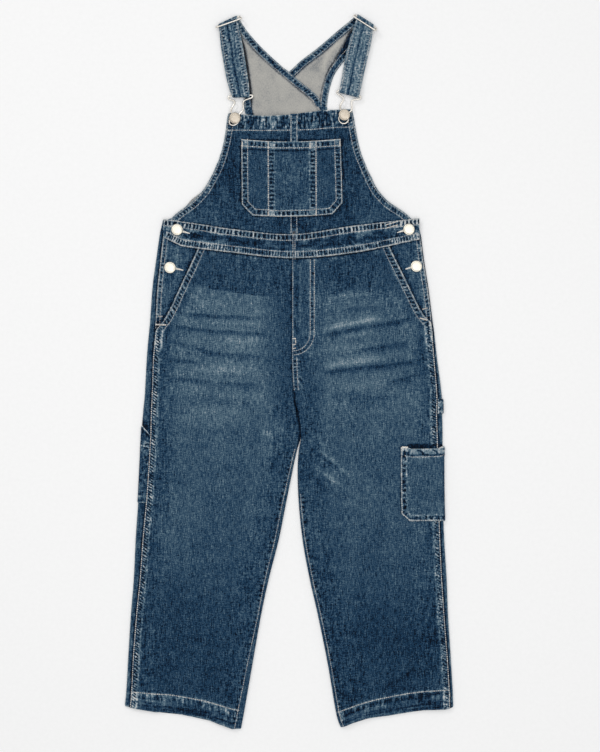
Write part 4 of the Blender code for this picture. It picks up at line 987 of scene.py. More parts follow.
def makeWaistband(side):
    look = bandLook
    wearSeed, threadSeed = look["seeds"][side]
    xStart, xEnd = look["ends"][side]
    count = int(math.ceil((xEnd - xStart) / look["spacing"] / 4)) * 4 + 1
    across = np.linspace(xStart, xEnd, count)
    x, share = np.meshgrid(across, np.linspace(0, 1, 37))
    y = mix(bandEdge(x, "low"), bandEdge(x, "high"), share)
    z = solidTop("waistband_" + side.lower(), x, y, 3)
    low = np.stack([across, bandEdge(across, "low")], axis=1)
    high = np.stack([across, bandEdge(across, "high")], axis=1)
    sign = 1 if side == "Right" else -1
    parting = middleSeam - sign * 1.6
    seams = [
        dict(path=low, rows=(1.3, 9.8), pitch=4.3, thread=0.62, fill=0.6, pit=0.50, ridge=0.52, tick=0.3,
             line=0.42, reach=2.4, mottle=0.16, inset=0.8),
        dict(path=high, rows=(-9.6, -1.2), pitch=6.0, thread=0.6, pit=0.85, ridge=0.62, tick=0.36,
             line=0.40, reach=2.6, inset=0.9),
        dict(path=[(parting, 214), (parting, 170)], rows=(0,), tick=0.1, thread=0.5),
    ]
    puckers, relief = puckered(x, y, 14, 4.5, 301, 0.22, 0.16)
    tone = look["tone"] + puckers + 0.05 * uneven(x, y, 30, 9, 302)
    tone, relief = creased(x, y, tone, relief * 0.8, look["creases"][side])
    tone, relief, mottle = sewSeams(x, y, tone, relief, seams, wearSeed)
    toLow, toHigh = share * look["height"], (1 - share) * look["height"]
    tone += 0.35 * bell(toLow, 1.0) + 0.25 * bell(toHigh, 1.0)
    toEnd = np.abs(x - (xStart if side == "Right" else xEnd))
    tone += 0.25 * bell(toEnd, 1.2) + 0.14 * (1 - smooth(toEnd, 30, 55))
    mottle = np.maximum(mottle, 0.2 * (1 - smooth(toEnd, 30, 60)))
    item = layCloth("waistband" + side, ["waistband_" + side.lower()], (x, y, z + relief), look["wall"],
                    tone, mottle, ["frontLeg" + side, "hipFacing" + side])
    sewOn("waistbandStitches" + side, item, seams, threadSeed, look["tacks"][side])


for side in ("Right", "Left"):
    makeHipFacing(side)
    makeWaistband(side)
print("waist ready")


bibPlan = tableOf("rightX rightY middleY leftX leftY bowRight bowLeft", [
    (-188, 225, 201, 194, 228, 0, 0), (-173, 241, 222, 180, 242, 0, 0),
    (-147, 259.5, 246, 153, 259.5, 0, 0), (-130, 278, 268, 136.3, 278, 0, 0),
    (-119.4, 296.4, 290, 127, 296.4, 0, 0), (-110, 315, 311, 119.4, 315, 0, 0),
    (-104, 333.4, 331, 111.7, 333.4, 0, 0), (-99.3, 352, 350.5, 107, 352, 0, 0),
    (-96.4, 369, 369.5, 103.2, 372.5, -1, 1), (-96.2, 371, 371.5, 102.8, 374.5, -1, 1),
    (-94.5, 386, 384.5, 100.6, 389, -2.5, 1.5), (-92.5, 396.5, 394.0, 97.5, 401.8, -3.6, 1.7)])
bibLook = {"tone": 0.205, "wall": 1.0, "hemWall": 1.6, "hem": 10.5, "spacing": 1.45,
           "seeds": {"Right": (431, 4600), "Left": (471, 5000)}}
bibHemLine = [(-97, 369.9), (-42.4, 368.8), (6.9, 369.4), (34, 370.3), (56, 372.3), (78, 374),
              (103, 374.7)]


def makeBib(side):
    look, sign, name = bibLook, 1 if side == "Left" else -1, side.lower()
    wearSeed, threadSeed = look["seeds"][side]
    run = lengths(np.stack([bibPlan[name + "X"], bibPlan[name + "Y"]], axis=1))
    count = int(math.ceil(run[-1] / look["spacing"] / 4)) * 4 + 1
    place = np.interp(np.linspace(0, run[-1], count), run, np.arange(len(run)))
    edgeX, edgeY, middleY, bow = (eased(straight(bibPlan[key], place))
                                  for key in (name + "X", name + "Y", "middleY", "bow" + side))
    share = np.linspace(0, 1, 125)[None, :]
    x = mix(middleSeam + sign * halfGap, edgeX[:, None], share)
    y = mix(middleY[:, None], edgeY[:, None], share) + bow[:, None] * np.sin(np.pi * share)
    z = solidTop("bib_" + name, x, y, 4)
    edge = np.stack([edgeX, edgeY], axis=1)
    half = [p for p in bibHemLine if p[0] * sign > -8]
    seams = [
        dict(path=edge, rows=(sign * 2.0, sign * 9.4), pitch=5.2, pit=0.26, ridge=0.40, tick=0.14,
             reach=2, slant=0.35, thread=0.56),
        dict(path=half, rows=(0,), pitch=6.5, tick=0.24, reach=2.6, thread=0.66),
    ]
    fromEdge = np.abs(alongPath(x, y, edge)[1])
    tone = look["tone"] + 0.04 * uneven(x, y, 9, 22, 401) + 0.035 * uneven(x, y, 26, 26, 402)
    relief = 0.12 * uneven(x, y, 24, 30, 403) + 0.08 * uneven(x, y, 9, 12, 404)
    tone, relief, mottle = sewSeams(x, y, tone, relief, seams, wearSeed)
    hemY = np.interp(x, *zip(*bibHemLine))
    inHem = smooth(y - hemY, 1.2, 3.5)
    inside = mix(0.5, 1, smooth(fromEdge, 9, 12))
    for sizeX, sizeY, seed, light, dark in ((2.1, 7, 441, 0.44, 0.24), (3.6, 3, 442, 0.26, 0.14)):
        extraTone, extraRelief = puckered(x, y, sizeX, sizeY, seed, light, dark)
        tone, relief = tone + extraTone * inHem * inside, relief + extraRelief * inHem
    mottle = np.maximum(mottle, 0.10 * inHem)
    fromTop = np.linalg.norm(np.stack([x - x[-1], y - y[-1]]), axis=0)
    tone += 0.52 * bell(fromTop, 1.5) + 0.42 * bell(fromEdge, 1.4) - 0.05 * bell(fromEdge - 11.5, 1.3)
    onBand = np.maximum(y - bandEdge(x, "high"), 0)  # shade and tucks above the waistband
    tuck = smooth(uneven(x, y, 3, 9, 445), 0.1, 0.7)
    tone = tone - 0.22 * bell(onBand, 1.6) + 0.24 * tuck * bell(onBand - 3.4, 3)
    # painted shadow round the bib pocket's edge
    tone -= 0.36 * bell(np.maximum(pocketGap(x, y), 0), 1.8)
    tone += 0.06 * smooth(x * sign, 80, 110) * smooth(290 - y, 0, 40)
    wall = np.where((y > hemY) | (fromEdge < look["hem"]), look["hemWall"], look["wall"])
    item = layCloth("bib" + side, ["bib_" + name], (x, y, z + relief), wall, tone, mottle,
                    ["backYokeLeft", "backYokeRight"])
    sewOn("bibStitches" + side, item, seams, threadSeed)


pocketPlan = tableOf("x0 y0 x1 y1 bow", [
    (-72.5, 355, 80, 355.7, -4), (-72.4, 343, 80.6, 344, -3), (-72.3, 341.5, 80.7, 342.5, -3),
    (-72, 300, 81.8, 300, -1), (-71.6, 255, 83, 257.5, -1), (-55.5, 238, 67.3, 240, -2.5)])


def pocketGap(x, y):  # distance outside the bib pocket's outline, roughly
    sides = np.maximum(-72.3 - x, x - 82)
    ends = np.maximum(y - 353.5, 238 - y)
    corners = np.maximum((-64 - x) + (246.5 - y), (x - 75.5) + (248.5 - y)) * 0.7
    return np.maximum(np.maximum(sides, ends), corners)


centreLook = {"tone": 0.30, "wall": 1.0, "half": 5.5, "top": 394.3}


def makeCentreSeam():
    look = centreLook
    rows = np.linspace(bandEdge(middleSeam, "high") + 0.6, look["top"], 129)
    x, y = np.meshgrid(middleSeam + look["half"] * np.linspace(-1, 1, 13), rows)
    z = solidTop("centre_seam", x, y, 2)
    line = [(middleSeam, 392), (middleSeam, 211)]
    seams = [dict(path=line, rows=(-4.3, 4.3), pitch=7.5, pit=0.2, ridge=0.30)]
    tone = look["tone"] + 0.12 * uneven(x, y, 5, 7, 501)
    tone, relief, mottle = sewSeams(x, y, tone, 0.15 * uneven(x, y, 5, 7, 502), seams, 511)
    tone += 0.25 * bell(np.abs(x - middleSeam) - look["half"], 0.9)
    tone -= 0.30 * smooth(241 - y, 0, 5) * smooth(y, 214, 222)  # shade below the pocket
    item = layCloth("centreSeam", ["centre_seam"], (x, y, z + relief), look["wall"], tone, mottle,
                    ["bibRight", "bibLeft"])
    sewOn("centreSeamStitches", item, seams, 5400)


bibPocketLook = {
    "tone": 0.27, "wall": 1.0,
    "outline": [(-72.5, 356), (-72.2, 300), (-71.8, 255.5), (-55.5, 238.5), (-13, 235.5), (30, 236.5),
                (67.3, 240), (83, 257.5), (82, 300), (80.2, 356)],
    "rubbed": [(-67, 348, 5), (-26, 344, 5), (38, 344, 5), (75.5, 349, 5), (-26, 240, 5), (38, 241, 5)],
    "tacks": [((-71, 351), (-71, 343), (2, 2), 0.8), ((79, 352), (79, 344), (2, 2), 0.8),
              ((-31, 349), (-31, 340), (2, 2), 0.75), ((33, 349), (33, 340), (2, 2), 0.75),
              ((-31, 238), (-31, 244), (2, 2), 0.75), ((42.5, 238), (42.5, 245), (2, 2), 0.75)],
}


def makeBibPocket():
    look = bibPocketLook
    place = np.concatenate([np.linspace(0, 2, 13)[:-1], np.linspace(2, 4, 61)[:-1], np.linspace(4, 5, 17)])
    share = np.linspace(0, 1, 117)[None, :]
    x0, y0, x1, y1, bow = (straight(pocketPlan[key], place)[:, None] for key in pocketPlan)
    x = mix(x0, x1, share)
    y = mix(y0, y1, share) + bow * np.sin(np.pi * share)
    z = solidTop("bib_pocket", x, y, 3)
    mouth = np.stack([x[0], y[0]], axis=1)
    sewing = dict(pit=0.44, thread=0.66)
    seams = [
        dict(sewing, path=look["outline"], rows=(1.1, 9.6), pitch=6.4, tick=0.12,
             only=lambda x, y: 1 - smooth(y, 341, 344)),
        dict(sewing, path=[(-31.2, 352), (-30.6, 239)], rows=(0, 9.4), sewn=(0,), pitch=6.4, tick=0.12,
             width=1.7),
        dict(sewing, path=[(32.8, 352), (33.2, 240)], rows=(0, 9.4), sewn=(9.4,), pitch=6.2, tick=0.14,
             width=1.7),
        dict(path=mouth, rows=(-9.8, -1.0), pitch=7.0, pit=0.50, ridge=0.46, tick=0.22, sewn=(-9.8,),
             thread=0.75),
    ]
    tone = look["tone"] + 0.06 * uneven(x, y, 12, 16, 521) + 0.07 * bell(x - 6, 34) * bell(y - 300, 50)
    relief = 0.14 * uneven(x, y, 18, 20, 522) + 0.3 * bell(x - 5, 30) * bell(y - 295, 35)
    tone, relief, mottle = sewSeams(x, y, tone, relief, seams, 531)
    fromMouth = mix(355, 355.7, share) + bow[0] * np.sin(np.pi * share) - y
    # painted shadow under the mouth's hem edge; its top edge is rubbed pale
    tone = tone - 0.40 * bell(fromMouth - 14, 1.3) + 0.4 * bell(fromMouth, 1.2)
    tone += 0.38 * bell(np.maximum(-pocketGap(x, y), 0), 1.1)
    for cx, cy, half in look["rubbed"]:  # small squares where the seams meet
        square = 1 - smooth(np.abs(x - cx), half - 1, half + 1)
        square = square * (1 - smooth(np.abs(y - cy), half, half + 2))
        tone = mix(tone, 0.66 + 0.3 * uneven(x, y, 2.6, 2.6, 541), 0.85 * square)
    item = layCloth("bibPocket", ["bib_pocket"], (x, y, z + relief), look["wall"], tone, mottle,
                    ["bibRight", "bibLeft", "centreSeam"])
    sewOn("bibPocketStitches", item, seams, 5600, look["tacks"])


for side in ("Right", "Left"):
    makeBib(side)
makeCentreSeam()
makeBibPocket()
print("bib ready")


yokeNames = "rightX rightY leftX leftY"
yokePlans = {
    "Left": tableOf(yokeNames, [
        (-189, 233.5, 196, 231), (-150, 262, 151, 262), (-100, 302, 103, 300), (-75, 335, 77, 335),
        (-62, 370, 63, 370), (-57, 407, 59.5, 401), (-28.5, 434.5, 60.3, 419), (1.7, 460.5, 64.5, 438),
        (20.8, 478, 71, 456), (45.4, 496.7, 83, 473), (73.2, 520.5, 104, 496), (100.5, 543, 129, 523)]),
    "Right": tableOf(yokeNames, [
        (-189, 233.5, 186, 231), (-150, 262, 140, 262), (-100, 302, 92, 300), (-75, 335, 66, 335),
        (-62, 370, 52, 370), (-67.5, 401, 48.5, 414), (-69, 418, 35.3, 430.4), (-71.5, 437, 20.8, 442),
        (-76, 455, 0.8, 458.8), (-84, 475, -20.5, 477.2), (-93, 496, -44, 499.7),
        (-101, 513, -63.3, 521.9), (-106, 528, -76, 541)]),
}
yokeLook = {
    "tone": 0.52, "hemTone": 0.30, "hem": 10.5, "wall": 1.0, "hemWall": 1.6,
    "seeds": {"Left": (611, 6000), "Right": (651, 6400)},
    "under": {"Left": [], "Right": ["backYokeLeft"]},  # the right one crosses over the left one
    "shades": {  # painted shade and painted light of soft folds on the left one, the right strap's painted shade: path, width, tone, share of its ends
        "Left": [([(76, 496), (64, 466), (57, 440)], 4, -0.16, 0.25),
                 ([(52, 488), (34, 448)], 5, -0.08, 0.25),
                 ([(82, 510), (60, 487), (50, 456)], 3.4, 0.22, 0.25)],
        "Right": [([(-78, 520), (-70, 500), (-66.3, 482), (-62.5, 458), (-59.8, 437), (-58.6, 424),
                    (-57.5, 405)], 2.8, -0.8, 0.12)],
    },
    "beside": [(99, 526), (94, 518), (91, 510), (88.2, 501), (86.4, 492), (85, 482)],  # painted shade beside the left strap's edge
}


def makeYoke(side):
    plan, look = yokePlans[side], yokeLook
    wearSeed, threadSeed = look["seeds"][side]
    last = len(plan["rightX"]) - 1
    bibTop, hidden = 4.6, 36  # its place at the bib's top and the coarser rows up to there
    place = np.concatenate([np.linspace(0, bibTop, hidden + 1)[:-1], np.linspace(bibTop, last, 125)])
    x0, y0, x1, y1 = (through(plan[key], place)[:, None] for key in yokeNames.split())
    share = columnsFrom(np.zeros(len(place)), np.ones(len(place)), 0.014, 12, 41)
    x, y = mix(x0, x1, share), mix(y0, y1, share)
    y = np.where(place[:, None] < 1, mix(backBandLow(x) + 22.3, y, np.minimum(place, 1)[:, None]), y)
    z = solidTop("back_yoke_" + side.lower(), x, y, 2)
    rightEdge = np.stack([x[:, 0], y[:, 0]], axis=1)[hidden:]
    leftEdge = np.stack([x[:, -1], y[:, -1]], axis=1)[hidden:]
    if side == "Right":
        leftEdge = np.concatenate([[[66, 394.5]], leftEdge[leftEdge[:, 1] > 415]])
    toRight, toLeft = (np.abs(alongPath(x, y, edge)[1]) for edge in (rightEdge, leftEdge))
    folded = np.clip(0.29 * (y - 476), 0, 12) * (side == "Left")  # this hem turns wider beside the strap
    fromEdge = np.minimum(toRight, toLeft - folded)
    inHem = np.where((fromEdge < look["hem"]) & (y > 392), 1, 0)
    sewing = dict(pitch=5.6, pit=0.34, ridge=0.24, tick=0.0, thread=0.5)
    seams = [dict(sewing, path=rightEdge, rows=(-9.2, -1.6), slant=0.5),
             dict(sewing, path=leftEdge, rows=(1.6, 9.2), slant=-0.5)]
    cloth = look["hemTone"] + 0.14 * uneven(x, y, 6, 6, 601)
    cloth, relief, mottle = sewSeams(x, y, cloth, 0.1 * uneven(x, y, 8, 8, 602), seams, wearSeed)
    # pale rubbed edge; painted shade at the hem's inner edge
    cloth += 0.35 * bell(fromEdge, 1.0) - 0.12 * bell(fromEdge - look["hem"], 1.0)
    body = look["tone"] + 0.06 * uneven(x, y, 22, 22, 603)
    # painted shade on the body beside the hem's inner edge
    body -= 0.34 * bell(fromEdge - look["hem"] - 0.6, 1.6)
    body += 0.05 * uneven(x, y, 7, 7, 605)
    for path, width, shade, fade in look["shades"][side]:
        body += shade * stroke(x, y, path, width, fade)
    # painted shade on the yoke just above the bib's top edge
    fromBib = np.maximum(y - np.interp(x, [-92, 6, 97], [396.5, 394.3, 401.8]), 0)
    tone = np.where(inHem > 0, cloth, body) - 0.12 * bell(fromBib, 3)
    if side == "Left":
        # painted shade beside the left strap
        tone -= 0.5 * stroke(x, y, look["beside"], 2.2, 0.12)
    relief = relief * inHem + 0.12 * uneven(x, y, 20, 20, 604) * (1 - inHem)
    wall = np.minimum(np.where(inHem > 0, look["hemWall"], look["wall"]), z + relief - 0.05)
    outside = 0.27 + 0.05 * uneven(x, y, 9, 30, 606) - 0.2 * bell(fromEdge - look["hem"], 1.2)
    item = layCloth("backYoke" + side, ["back_yoke_" + side.lower()], (x, y, z + relief), wall, tone,
                    mottle, look["under"][side], "denim_reverse", slantedCut, slotOf=1 - inHem,
                    inner=outside)
    sewn = [dict(seam, path=seam["path"][seam["path"][:, 1] > 404]) for seam in seams]
    sewOn("yokeStitches" + side, item, sewn, threadSeed)


for side in ("Left", "Right"):
    makeYoke(side)
print("back pieces ready")


strapNames = "x0 y0 x1 y1 base"
strapPlans = {
    "Right": tableOf(strapNames, [
        (-86, 419, -59.5, 419.6, 2.6), (-91, 433, -60.5, 437, 2.6), (-96, 452, -63.5, 458, 2.6),
        (-100.5, 478, -67.3, 482, 2.6), (-104, 499, -71.5, 506, 2.6), (-106, 521, -77, 533, 2.6),
        (-108, 532, -79.5, 545.5, 2.6)]),
    "Left": tableOf(strapNames, [
        (77.3, 426.9, 107.6, 418.8, 2.6), (80, 439, 111.2, 433, 1.8), (84, 462, 116, 456, 2.0),
        (87.5, 481, 121, 478, 2.6), (92.5, 502, 126, 499, 2.6), (101, 530, 129, 516.5, 2.6),
        (106.5, 547.5, 132, 531, 2.6)]),
}
strapLook = {"wall": 1.6, "turn": 3.2, "gap": 0.3, "width": 29, "pitch": 4.6,
             "rows": (0.09, 0.91),  # its two rows of stitching, as shares of the width
             "tone": {"Right": 0.40, "Left": 0.46}, "rumple": {"Right": 1, "Left": 0.5},
             "mottle": {"Right": 0.15, "Left": 0.08}, "seeds": {"Right": 6800, "Left": 7200}}


def strapRun(plan):  # distance along the middle line at each row of a strap's table
    middle = np.stack([(plan["x0"] + plan["x1"]) / 2, (plan["y0"] + plan["y1"]) / 2], axis=1)
    return lengths(middle)


def strapPoint(plan, distance, share):
    run = strapRun(plan)
    last = len(run) - 1
    place = np.interp(distance, run, np.arange(last + 1))
    place = np.where(distance > run[-1], last + (distance - run[-1]) / (run[-1] - run[-2]), place)
    place = np.where(distance < 0, distance / run[1], place)
    x0, y0, x1, y1, base = (through(plan[key], place) for key in strapNames.split())
    return mix(x0, x1, share), mix(y0, y1, share), base


def makeStrap(side):
    plan, look = strapPlans[side], strapLook
    total = strapRun(plan)[-1]
    half = look["wall"] / 2
    radius = look["turn"] - half
    last = total - look["turn"]
    runs, turns = 96, 8  # steps along each side and round each end
    up = np.linspace(look["turn"], last, runs + 1)
    part = np.maximum(1 - smooth(up, 9, 30), smooth(up, total - 30, total - 13))
    rise = mix(look["wall"] + look["gap"], 2 * look["turn"] - look["wall"], part)
    angleTop = math.pi / 2 - math.pi * np.arange(1, turns) / turns
    angleLow = angleTop - math.pi
    level = np.full(runs + 1, math.pi / 2)
    angle = np.concatenate([level, angleTop, -level, angleLow])
    distance = np.concatenate([up, last + radius * np.cos(angleTop), up[::-1],
                               look["turn"] + radius * np.cos(angleLow)])
    z = np.concatenate([rise - radius, radius * np.sin(angleTop), np.full(runs + 1, -radius),
                        radius * np.sin(angleLow)])
    share = np.linspace(0, 1, 33)[:, None]
    along = distance + half * np.cos(angle) + 0 * share
    height = z + half * np.sin(angle) + 0 * share
    x, y, base = strapPoint(plan, along, share)
    onTop = (np.arange(len(z)) <= runs)[None, :] + 0 * share
    fromEdge = np.minimum(share, 1 - share) * look["width"] + 0 * x
    fromMiddle = (share - 0.5) * look["width"]
    bumpy = along + 1.2 * uneven(along, fromMiddle, 11, 9, 701)
    pits = smooth(0.5 + 0.5 * np.cos(2 * np.pi * bumpy / look["pitch"]), 0.35, 0.75)
    sewn = bell(fromEdge - 5, 2.1)
    ridge = (0.36 * bell(fromEdge - 1.0, 1.3) + 0.22 * bell(fromEdge - 8.6, 1.3)
             + 0.20 * bell(fromMiddle - 1.4, 1.2))
    markStrength = 0.8 + 0.5 * uneven(along, fromMiddle, 3, 3, 702)
    tone = look["tone"][side] + ridge * markStrength + 0.06 * uneven(x, y, 9, 14, 703)
    # painted shade in the centre crease
    tone -= 0.30 * bell(fromMiddle + 1.3, 0.9)
    tone += onTop * sewn * (0.30 * (1 - pits) - 0.34 * pits) * look["rumple"][side]
    tone += onTop * 0.12 * uneven(fromMiddle, along, 2.2, 22, 704)
    relief = onTop * (0.25 * bell(fromEdge - 1.2, 1.6) + 0.3 * bell(fromMiddle - 1.4, 1.6)
                      - 0.3 * bell(fromMiddle + 1.3, 1.4) - 0.35 * pits * sewn)
    z = base + look["turn"] + height + relief * smooth(fromEdge, 0, 1)
    item = layCloth("strap" + side, ["strap_" + side.lower()], (x, y, z), look["wall"], tone,
                    look["mottle"][side], ["backYoke" + side], ring=True)
    seams = []
    for at in look["rows"]:
        px, py, _ = strapPoint(plan, np.linspace(7, total - 9, 30), at)
        seams.append(dict(path=np.stack([px, py], axis=1), rows=(0,), thread=0.45))
    sewOn("strapStitches" + side, item, seams, look["seeds"][side])


for side in ("Right", "Left"):
    makeStrap(side)
print("straps ready")


def tube(name, path, radius, material, sides=12):  # a closed loop of round wire
    ahead = np.roll(path, -1, axis=0) - np.roll(path, 1, axis=0)
    ahead /= np.linalg.norm(ahead, axis=1)[:, None]
    side = np.cross(ahead, (0, 0, 1.0))
    side /= np.maximum(np.linalg.norm(side, axis=1), 1e-9)[:, None]
    up = np.cross(side, ahead)
    angle = np.linspace(0, 2 * np.pi, sides, endpoint=False)
    ring = np.cos(angle)[None, :, None] * side[:, None, :] + np.sin(angle)[None, :, None] * up[:, None, :]
    points = (path[:, None, :] + radius * ring).reshape(-1, 3)
    n = len(path)
    faces = []
    for i in range(n):
        for j in range(sides):
            a, b = i * sides + j, i * sides + (j + 1) % sides
            c, d = ((i + 1) % n) * sides + (j + 1) % sides, ((i + 1) % n) * sides + j
            faces.append((a, b, c, d))
    return addObject(name, points, faces, [material], sharp=80)


def roundedLoop(corners, radius, steps=8):
    corners = [np.array(c, float) for c in corners]
    path = []
    for k, corner in enumerate(corners):
        before, after = corners[k - 1], corners[(k + 1) % len(corners)]
        start = corner + (before - corner) / np.linalg.norm(before - corner) * radius
        end = corner + (after - corner) / np.linalg.norm(after - corner) * radius
        for t in np.linspace(0, 1, steps + 1):
            path.append(mix(mix(start, corner, t), mix(corner, end, t), t))
    return np.array(path)


wireLook = {"radius": 1.2, "hookLength": 47.4, "pastStrap": 4.2, "corner": 2.2}
nearBars = {"Right": (-111, 526, -71.5, 540), "Left": (99.5, 543, 134, 521)}
hookHalf = tableOf("down out", [
    (0, 8), (0, 16.5), (0.8, 18.3), (2.8, 18.8), (4.8, 17), (6.4, 12), (8.2, 7.8), (10.5, 6.5),
    (14, 7), (18, 8.5), (22, 9.3), (25.5, 8.6), (28.5, 6.2), (31.5, 4.8), (35, 5.6), (39, 7.3),
    (43, 6.9), (46, 4.2)])
bibButtons = {"Right": (-82.2, 387.3), "Left": (85.9, 392.4)}


def strapBar(plan, distance):  # both ends of the line across a strap, and its lower height
    ax, ay, base = (float(v) for v in strapPoint(plan, np.array(distance), 0.0))
    bx, by, _ = (float(v) for v in strapPoint(plan, np.array(distance), 1.0))
    return np.array([ax, ay]), np.array([bx, by]), base


def makeSlider(side):
    turn = strapLook["turn"]
    a, b, base = strapBar(strapPlans[side], strapRun(strapPlans[side])[-1] - turn)
    over = (b - a) / np.linalg.norm(b - a) * wireLook["pastStrap"]
    nearZ = base + 2 * turn + strapLook["gap"] + wireLook["radius"]
    x0, y0, x1, y1 = nearBars[side]
    corners = [(x0, y0, nearZ), (x1, y1, nearZ), (*(b + over), base + turn), (*(a - over), base + turn)]
    item = tube("slider" + side, roundedLoop(corners, wireLook["corner"]), wireLook["radius"], wireFinish)
    settle(item, ["slider_" + side.lower()], "nickel")


def makeHook(side):
    turn = strapLook["turn"]
    a, b, base = strapBar(strapPlans[side], turn)
    middle = (a + b) / 2
    across = (b - a) / np.linalg.norm(b - a)
    down = np.array(bibButtons[side]) - middle
    down /= np.linalg.norm(down)
    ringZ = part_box("button_bib_" + side.lower())[0].z / mm + wireLook["radius"]
    downs = np.concatenate([hookHalf["down"], [wireLook["hookLength"]], hookHalf["down"][::-1]])
    outs = np.concatenate([-hookHalf["out"], [0], hookHalf["out"][::-1]])
    z = mix(base + turn, ringZ, smooth(downs, 6, 20))
    spots = middle + across * outs[:, None] + down * downs[:, None]
    path = np.concatenate([spots, z[:, None]], axis=1)
    fine = np.linspace(0, len(path) - 1, 4 * len(path))
    path = np.stack([eased(through(path[:, k], fine), 2) for k in range(3)], axis=1)
    item = tube("hook" + side, path, wireLook["radius"], wireFinish)
    settle(item, ["hook_" + side.lower()], "nickel")


buttonLook = {
    "segments": 48, "shank": 2.6, "collar": 2, "shade": {"bib": 0.3, "waist": 0.95, "hip": 0.95},
    "cap": [(6.8, 1.9), (8.2, 1.6), (8.7, 1.1), (8.65, 0.6), (8.2, 0.2), (7.5, 0), (6.9, 0.12),
            (6.5, 0.45), (6.1, 0.55), (5.4, 0.42), (3.5, 0.3), (1.5, 0.25),
            (0.4, 0.24)],  # radius, depth below the rim's top
}


def makeButton(kind, side):
    node = "button_%s_%s" % (kind, side.lower())
    low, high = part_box(node)
    cx, cy = (low.x + high.x) / 2 / mm, (low.y + high.y) / 2 / mm
    bottom, crown = low.z / mm, high.z / mm
    shank, segments = buttonLook["shank"], buttonLook["segments"]
    profile = [(shank, bottom), (shank, crown - buttonLook["collar"])]
    profile += [(radius, crown - depth) for radius, depth in buttonLook["cap"]]
    points, faces = [], []
    for radius, height in profile:
        for k in range(segments):
            angle = 2 * math.pi * k / segments
            points.append((cx + radius * math.cos(angle), cy + radius * math.sin(angle), height))
    for i in range(len(profile) - 1):
        for k in range(segments):
            j, low, high = (k + 1) % segments, i * segments, (i + 1) * segments
            faces.append((low + k, low + j, high + j, high + k))
    faces.append(list(range(segments))[::-1])
    faces.append([(len(profile) - 1) * segments + k for k in range(segments)])
    values = {"tone": [buttonLook["shade"][kind]] * len(points)}
    item = addObject("button" + kind.capitalize() + side, points, faces, [capFinish], values, sharp=40)
    settle(item, [node], "button_nickel")


for side in ("Right", "Left"):
    makeSlider(side)
    makeHook(side)
    for kind in ("bib", "waist", "hip"):
        makeButton(kind, side)
print("hardware ready")


def makeWrap(name, node, plan, seamRows, sideRows, reach, wall, dress, topColumns, restsOn, sag=None):
    # a piece sewn over a leg's side edge; seamRows and sideRows are its rows at its seam and at the edge
    roll = rollLook["radius"]
    seamRows, sideRows, reach = (np.asarray(v)[:, None] for v in (seamRows, sideRows, reach))
    s = roll + (reach - roll) * np.linspace(1, 0, topColumns)[None, :]
    rows = mix(sideRows, seamRows, s / reach)
    if sag is not None:
        rows = rows + sag(rows, s)
    z = solidTop(node, *legPoint(plan, rows, s), 2)
    outer = z[:, -1:] - roll
    bend, fall = 8, 4  # columns round the side edge and down to the surface
    angles = np.linspace(0, np.pi / 2, bend + 1)[None, 1:]
    drop = np.linspace(0, 1, fall + 1)[None, 1:]
    s = np.concatenate([s, roll - outer * np.sin(angles), roll - outer + 0 * drop], axis=1)
    z = np.concatenate([z, roll + outer * np.cos(angles), roll + (0.3 - roll) * drop + 0 * outer], axis=1)
    rows = np.concatenate([rows, np.repeat(sideRows, bend + fall, axis=1)], axis=1)
    x, y = legPoint(plan, rows, s)
    tone, relief, mottle, seams, tacks = dress(x, y, rows, s)
    onTop = np.concatenate([np.ones(topColumns), np.linspace(1, 0, bend + 1)[1:], np.zeros(fall)])[None, :]
    item = layCloth(name, [node], (x, y, z + relief * onTop), wall, tone, mottle, restsOn)
    if seams or tacks:
        sewOn(name + "Stitches", item, seams, 7600, tacks)


toolLook = {
    "tone": 0.38, "wall": 1.0, "hemWall": 1.6, "reach": 64.3, "cut": (64, 52),  # reach at the cut corner
    "levels": (-117, -220, -231),  # of the mouth, the cut corner and the lower edge, at the side
    "tack": ((174.8, -118), (183.5, -118), (2.6, 2.2), 0.95),
    "folds": [([(196, -122), (203, -123.5), (209, -129)], 0.7),
              ([(220, -121.5), (227, -124), (230, -129)], 0.7),
              ([(188, -121), (183, -127), (186, -131)], 0.6), ([(199, -127), (214, -130)], 0.4)],
}


